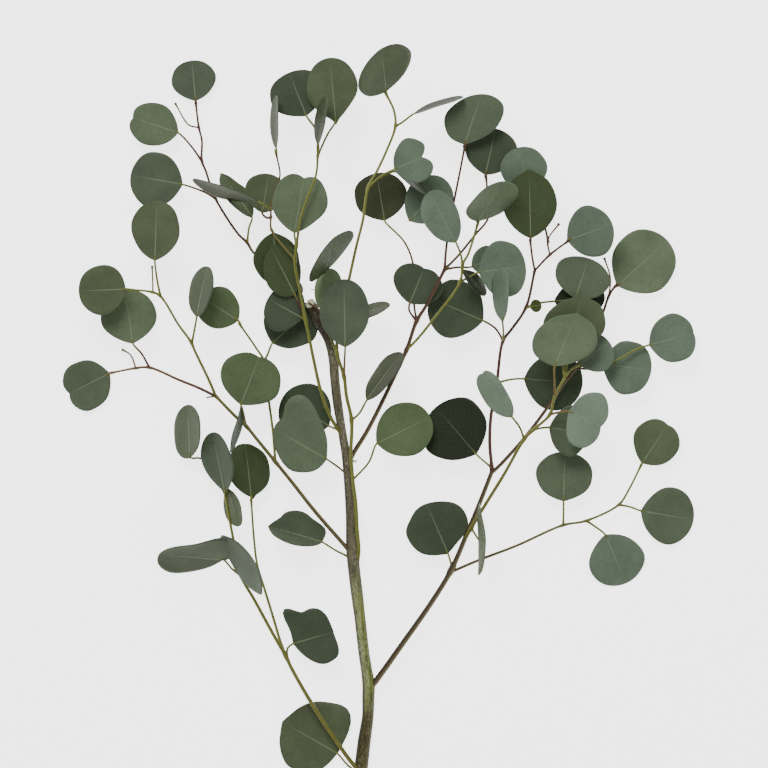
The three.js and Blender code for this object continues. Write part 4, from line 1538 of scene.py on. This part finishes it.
class Materials:
    """The procedural materials of the branch and of the floor."""

    def __init__(self, groups: NodeGroups) -> None:
        """Make every material.

        Args:
            groups: Node groups that the materials share.
        """
        self.groups = groups
        self.leaf = self._leaf(LeafFinish())
        self.twig = self._twig(BarkFinish())
        self.stem = self._stem(StemFinish())
        self.wood = self._wood(WoodFinish())
        self.floor = self._floor(FloorFinish())

    @staticmethod
    def _new(name: str) -> tuple[bpy.types.Material, Graph]:
        """Start a material.

        Args:
            name: Name of the material.

        Returns:
            The material, and a graph to fill it with.
        """
        material = bpy.data.materials.new(name)
        material.use_nodes = True
        material.node_tree.nodes.clear()
        return material, Graph(material.node_tree)

    @staticmethod
    def _shade(graph: Graph, colour: object, finish: Finish, height: object = None) -> None:
        """Add the shader and the output.

        Args:
            graph: Graph of the material.
            colour: Socket of the base colour.
            finish: Measures of the material.
            height: Socket of the height of a bump.
        """
        inputs = {"Base Color": colour, "Roughness": finish.roughness, "Specular IOR Level": finish.specular}
        if height is not None:
            relief = {"Strength": finish.bump, "Distance": finish.bump_depth, "Height": height}
            inputs["Normal"] = graph.add("ShaderNodeBump", relief).outputs["Normal"]
        shader = graph.add("ShaderNodeBsdfPrincipled", inputs)
        graph.add("ShaderNodeOutputMaterial", {"Surface": shader.outputs["BSDF"]})

    def _mottled(self, graph: Graph, vector: object, scale: float, depth: float) -> bpy.types.NodeSocket:
        """Add the blotch group.

        Args:
            graph: Graph of the material.
            vector: Socket of the place.
            scale: Scale of the blotches.
            depth: Depth of the blotches.

        Returns:
            A factor around 1.
        """
        inputs = {"Vector": vector, "Scale": scale, "Depth": depth}
        return graph.add("ShaderNodeGroup", inputs, node_tree=self.groups.mottle).outputs["Value"]

    @staticmethod
    def _scaled(graph: Graph, colour: object, factor: object) -> bpy.types.NodeSocket:
        """Multiply a colour by a factor.

        Args:
            graph: Graph of the material.
            colour: Colour, or its socket.
            factor: Socket of the factor.

        Returns:
            The product.
        """
        inputs = {0: colour, "Scale": factor}
        return graph.add("ShaderNodeVectorMath", inputs, operation="SCALE").outputs["Vector"]

    def _leaf(self, finish: LeafFinish) -> bpy.types.Material:
        """Make the leaf: grey-green, mottled, with a pale midrib and faint veins.

        Args:
            finish: Measures of the material.

        Returns:
            The material.
        """
        material, graph = self._new("leaf")
        tone = graph.attribute("tone")
        place = graph.add("ShaderNodeTexCoord").outputs["Object"]
        maps = {
            "Blade": graph.add("ShaderNodeUVMap", uv_map="blade").outputs["UV"],
            "Span": graph.add("ShaderNodeUVMap", uv_map="span").outputs["UV"],
        }
        veins = graph.add("ShaderNodeGroup", maps, node_tree=self.groups.veins).outputs
        broad = self._mottled(graph, place, finish.mottle_scale, finish.mottle_depth)
        grain = self._mottled(graph, place, finish.grain_scale, finish.grain_depth)
        colour = self._scaled(graph, tone["Color"], graph.math("MULTIPLY", broad, grain))
        side = graph.math("MULTIPLY", veins["Veins"], finish.vein_share)
        colour = graph.mix(side, colour, finish.veil)
        rim = graph.math("MULTIPLY", veins["Margin"], finish.margin_share)
        colour = graph.mix(rim, colour, finish.veil)
        strength = graph.math("MULTIPLY", tone["Alpha"], finish.midrib_share)
        rib = graph.math("MULTIPLY", veins["Midrib"], strength)
        colour = graph.mix(rib, colour, finish.vein)
        height = graph.math("MULTIPLY_ADD", veins["Veins"], finish.vein_height, veins["Midrib"])
        self._shade(graph, colour, finish, height)
        return material

    def _twig(self, finish: BarkFinish) -> bpy.types.Material:
        """Make the twig: smooth young bark with fine blotches.

        Args:
            finish: Measures of the material.

        Returns:
            The material.
        """
        material, graph = self._new("twig")
        place = graph.add("ShaderNodeTexCoord").outputs["Object"]
        factor = self._mottled(graph, place, finish.mottle_scale, finish.mottle_depth)
        colour = self._scaled(graph, graph.attribute("bark")["Color"], factor)
        dust = graph.noise(place, finish.dust_scale, finish.dust_detail)
        flecks = graph.ease(dust, *finish.fleck_band, 0.0, finish.bloom_share)
        colour = graph.mix(flecks, colour, finish.bloom)
        self._shade(graph, colour, finish, factor)
        return material

    def _stem(self, finish: StemFinish) -> bpy.types.Material:
        """Make the stem's bark: olive to grey-brown, streaked, dusted with pale bloom, with painted shade
        along its sides and a painted leaf shadow near its top.

        Args:
            finish: Measures of the material.

        Returns:
            The material.
        """
        material, graph = self._new("stem")
        place = graph.add("ShaderNodeTexCoord").outputs["Object"]
        height = graph.add("ShaderNodeSeparateXYZ", {"Vector": place}).outputs["Y"]
        left = graph.attribute("left")["Fac"]
        streaky = graph.stretched(place, finish.streak_stretch)
        wander = graph.noise(streaky, finish.wander_scale, finish.wander_detail)
        strayed = graph.math("MULTIPLY_ADD", wander, finish.wander_reach, left)
        # Bark of each height, streaked and dusted
        young = graph.mix(graph.ease(strayed, *finish.frosted_band), finish.green, finish.frosted)
        colour = graph.mix(graph.ease(height, *finish.young_band), finish.heel, young)
        colour = graph.mix(graph.ease(height, *finish.grey_band), colour, finish.grey)
        # Painted shadow of the leaf over the stem, which runs on into the stem's own dark top
        colour = graph.mix(graph.ease(height, *finish.top_shadow_band), colour, finish.top)
        grained = graph.stretched(place, finish.dust_stretch)
        dust = graph.noise(grained, finish.dust_scale, finish.dust_detail)
        streak = self._mottled(graph, streaky, finish.streak_scale, finish.streak_depth)
        colour = self._scaled(graph, colour, streak)
        colour = self._scaled(graph, colour, graph.ease(dust, *finish.dust_band))
        # Painted shade along both sides, where the round stem turns away from the light
        left_side_shade = graph.ease(strayed, *finish.left_shade_band)
        right_side_shade = graph.ease(left, *finish.right_shade_band)
        shaded = graph.math("MAXIMUM", left_side_shade, right_side_shade)
        colour = graph.mix(graph.math("MULTIPLY", shaded, finish.edge_shade_share), colour, finish.edge)
        # Pale specks of bloom that lie in drifts
        drift = graph.noise(streaky, finish.drift_scale, finish.drift_detail)
        specks = graph.ease(dust, *finish.speck_band)
        banks = graph.ease(drift, *finish.drift_band, 0.0, finish.bloom_share)
        banks = graph.math("MULTIPLY", banks, graph.ease(height, *finish.bloom_band))
        colour = graph.mix(graph.math("MULTIPLY", specks, banks), colour, finish.bloom)
        self._shade(graph, colour, finish, graph.math("ADD", streak, dust))
        return material

    def _wood(self, finish: WoodFinish) -> bpy.types.Material:
        """Make the pale wood of a cut end.

        Args:
            finish: Measures of the material.

        Returns:
            The material.
        """
        material, graph = self._new("cut_wood")
        place = graph.add("ShaderNodeTexCoord").outputs["Object"]
        factor = self._mottled(graph, place, finish.mottle_scale, finish.mottle_depth)
        self._shade(graph, self._scaled(graph, finish.colour, factor), finish)
        return material

    def _floor(self, finish: FloorFinish) -> bpy.types.Material:
        """Make the floor: white, and lit a little from within.

        Args:
            finish: Measures of the material.

        Returns:
            The material.
        """
        material, graph = self._new("floor")
        inputs = {
            "Base Color": (finish.white, finish.white, finish.white, 1.0),
            "Roughness": finish.roughness,
            "Specular IOR Level": finish.specular,
            "Emission Color": WHITE,
            "Emission Strength": finish.glow,
        }
        shader = graph.add("ShaderNodeBsdfPrincipled", inputs)
        graph.add("ShaderNodeOutputMaterial", {"Surface": shader.outputs["BSDF"]})
        return material


class Branch:
    """The branch: its stem, and each spray's twigs and leaves."""

    def __init__(self, materials: Materials) -> None:
        """Keep the materials.

        Args:
            materials: Materials of the branch.
        """
        self.materials = materials

    @staticmethod
    def _hand_over(piece: bpy.types.Object, node: str, slot: str) -> None:
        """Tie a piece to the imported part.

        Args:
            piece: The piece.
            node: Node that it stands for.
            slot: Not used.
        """
        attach(piece, BODY)
        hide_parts(node)

    def spray(self, spray: Spray) -> None:
        """Make one spray.

        Args:
            spray: The spray.
        """
        sheets = []
        rods = []
        roots = [leaf.route[0] for leaf in spray.leaves] + [twig.route[0] for twig in spray.twigs]
        joints = np.array(roots, float)
        for index, leaf in enumerate(spray.leaves):
            maker = BladeMaker(leaf, f"{spray.node} {index}")
            sheets.append(maker.build())
            rods.append(RodMaker.petiole(leaf, maker.along))
        for twig in spray.twigs:
            others = joints[np.any(joints != np.array(twig.route[0], float), axis=1)]
            rods.append(RodMaker.twig(twig, others))
        blades = MeshTools.joined(sheets, f"{spray.node}_leaves")
        MeshTools.welded(blades, close=False)
        MeshTools.thickened(blades, BLADE_THICKNESS)
        blades.data.materials.append(self.materials.leaf)
        self._hand_over(blades, spray.node, "leaf")
        twigs = MeshTools.joined(rods, f"{spray.node}_twigs")
        MeshTools.welded(twigs, close=True)
        twigs.data.materials.append(self.materials.twig)
        self._hand_over(twigs, spray.node, "twig")

    def stem(self) -> None:
        """Make the main stem, cut at both ends and flat where its heel rests."""
        route = Route([place.at for place in STEM], STEM_STEP)
        radii = np.interp(route.spans, np.arange(len(STEM)), [place.radius for place in STEM])
        plain = np.tile(np.array(Bark.OLIVE.value[0]), (len(route.points), 1))
        rod = RodMaker.build(route, radii, STEM_COLUMNS, plain, plain)
        nub = RodMaker.twig(STEM_NUB, np.empty((0, 3)))
        MeshTools.welded(nub, close=True)
        MeshTools.welded(rod, close=True)
        rod.data.materials.append(self.materials.stem)
        rod.data.materials.append(self.materials.wood)
        slant = math.radians(HEEL_SLANT)
        heel_normal = (0.0, -math.cos(slant), math.sin(slant))
        self._cut(rod, (STEM[1].at[0], HEEL_Y, 0.0), heel_normal, WOOD_SLOT)
        self._cut(rod, STUB_CUT, STUB_NORMAL, WOOD_SLOT)
        self._cut(rod, (0.0, HEEL_Y, 0.0), (0.0, 0.0, -1.0), BARK_SLOT)
        stem = MeshTools.joined([rod, nub], "main_stem_bark")
        MeshTools.activate(stem)
        bpy.ops.object.shade_smooth_by_angle(angle=math.radians(CUT_ANGLE))
        normals = np.empty(len(stem.data.vertices) * 3)
        stem.data.vertices.foreach_get("normal", normals)
        left = (1.0 - normals.reshape(-1, 3)[:, :1]) / 2.0
        MeshTools.write_colour(stem.data, "left", np.repeat(left, 3, axis=1))
        self._hand_over(stem, "main_stem", "stem")

    @staticmethod
    def _cut(rod: bpy.types.Object, at: Point, outward: Point, slot: int) -> None:
        """Cut a rod through a plane and close the cut.

        Args:
            rod: The rod.
            at: A place on the plane, in millimetres.
            outward: Normal of the plane, towards what is removed.
            slot: Material slot of the new face.
        """
        MeshTools.activate(rod)
        bpy.ops.object.mode_set(mode="EDIT")
        bpy.ops.mesh.select_all(action="SELECT")
        bpy.ops.mesh.bisect(
            plane_co=[value * MM for value in at], plane_no=outward, use_fill=True, clear_outer=True
        )
        rod.active_material_index = slot
        bpy.ops.object.material_slot_assign()
        bpy.ops.object.mode_set(mode="OBJECT")


@dataclass(frozen=True)
class Lamp:
    """A soft light that faces the branch: its place and width in metres, its power in watts."""

    name: str
    at: Point
    size: float
    power: float


LAMPS = (Lamp("key", (-0.5, 1.6, 2.4), 1.1, 62.0), Lamp("fill", (1.4, -1.2, 2.2), 2.4, 12.0))


class Studio:
    """The floor, the lights and the camera."""

    def __init__(self, materials: Materials) -> None:
        """Keep the materials.

        Args:
            materials: Materials of the scene.
        """
        self.materials = materials

    def build(self) -> None:
        """Set up everything round the branch."""
        self._floor()
        self._world()
        for lamp in LAMPS:
            self._area(lamp)
        self._camera()

    def _floor(self) -> None:
        """Lay the floor under the branch, at height 0."""
        bpy.ops.mesh.primitive_plane_add(size=FLOOR_SIZE, location=(0.0, 0.0, 0.0))
        floor = bpy.context.active_object
        floor.name = "floor"
        floor.data.transform(floor.matrix_world)
        floor.data.materials.append(self.materials.floor)

    @staticmethod
    def _world() -> None:
        """Light the scene evenly from all round."""
        world = bpy.data.worlds.new("studio")
        world.use_nodes = True
        background = world.node_tree.nodes["Background"]
        background.inputs["Color"].default_value = WHITE
        background.inputs["Strength"].default_value = WORLD_LIGHT
        bpy.context.scene.world = world

    @staticmethod
    def _area(lamp: Lamp) -> None:
        """Add a soft light that faces the branch.

        Args:
            lamp: Measures of the light.
        """
        data = bpy.data.lights.new(lamp.name, "AREA")
        data.size = lamp.size
        data.energy = lamp.power
        light = bpy.data.objects.new(lamp.name, data)
        bpy.context.scene.collection.objects.link(light)
        light.location = lamp.at
        light.rotation_euler = (-light.location).to_track_quat("-Z", "Y").to_euler()

    @staticmethod
    def _camera() -> None:
        """Look straight down on the branch, as the photograph does."""
        data = bpy.data.cameras.new("camera")
        data.lens = LENS
        data.sensor_width = SENSOR
        away = FRAME_WIDTH / SENSOR * LENS + MIDDLE_HEIGHT
        camera = bpy.data.objects.new("camera", data)
        bpy.context.scene.collection.objects.link(camera)
        camera.location = (FRAME_CENTRE[0] * MM, FRAME_CENTRE[1] * MM, away * MM)
        data.clip_end = CAMERA_REACH
        bpy.context.scene.camera = camera


def main() -> None:
    """Build the scene, and log each spray as it is made."""
    logging.basicConfig(level=logging.INFO)
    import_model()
    materials = Materials(NodeGroups())
    branch = Branch(materials)
    branch.stem()
    for spray in SPRAYS:
        branch.spray(spray)
        LOG.info("made %s", spray.node)
    Studio(materials).build()


if __name__ == "__main__":
    main()
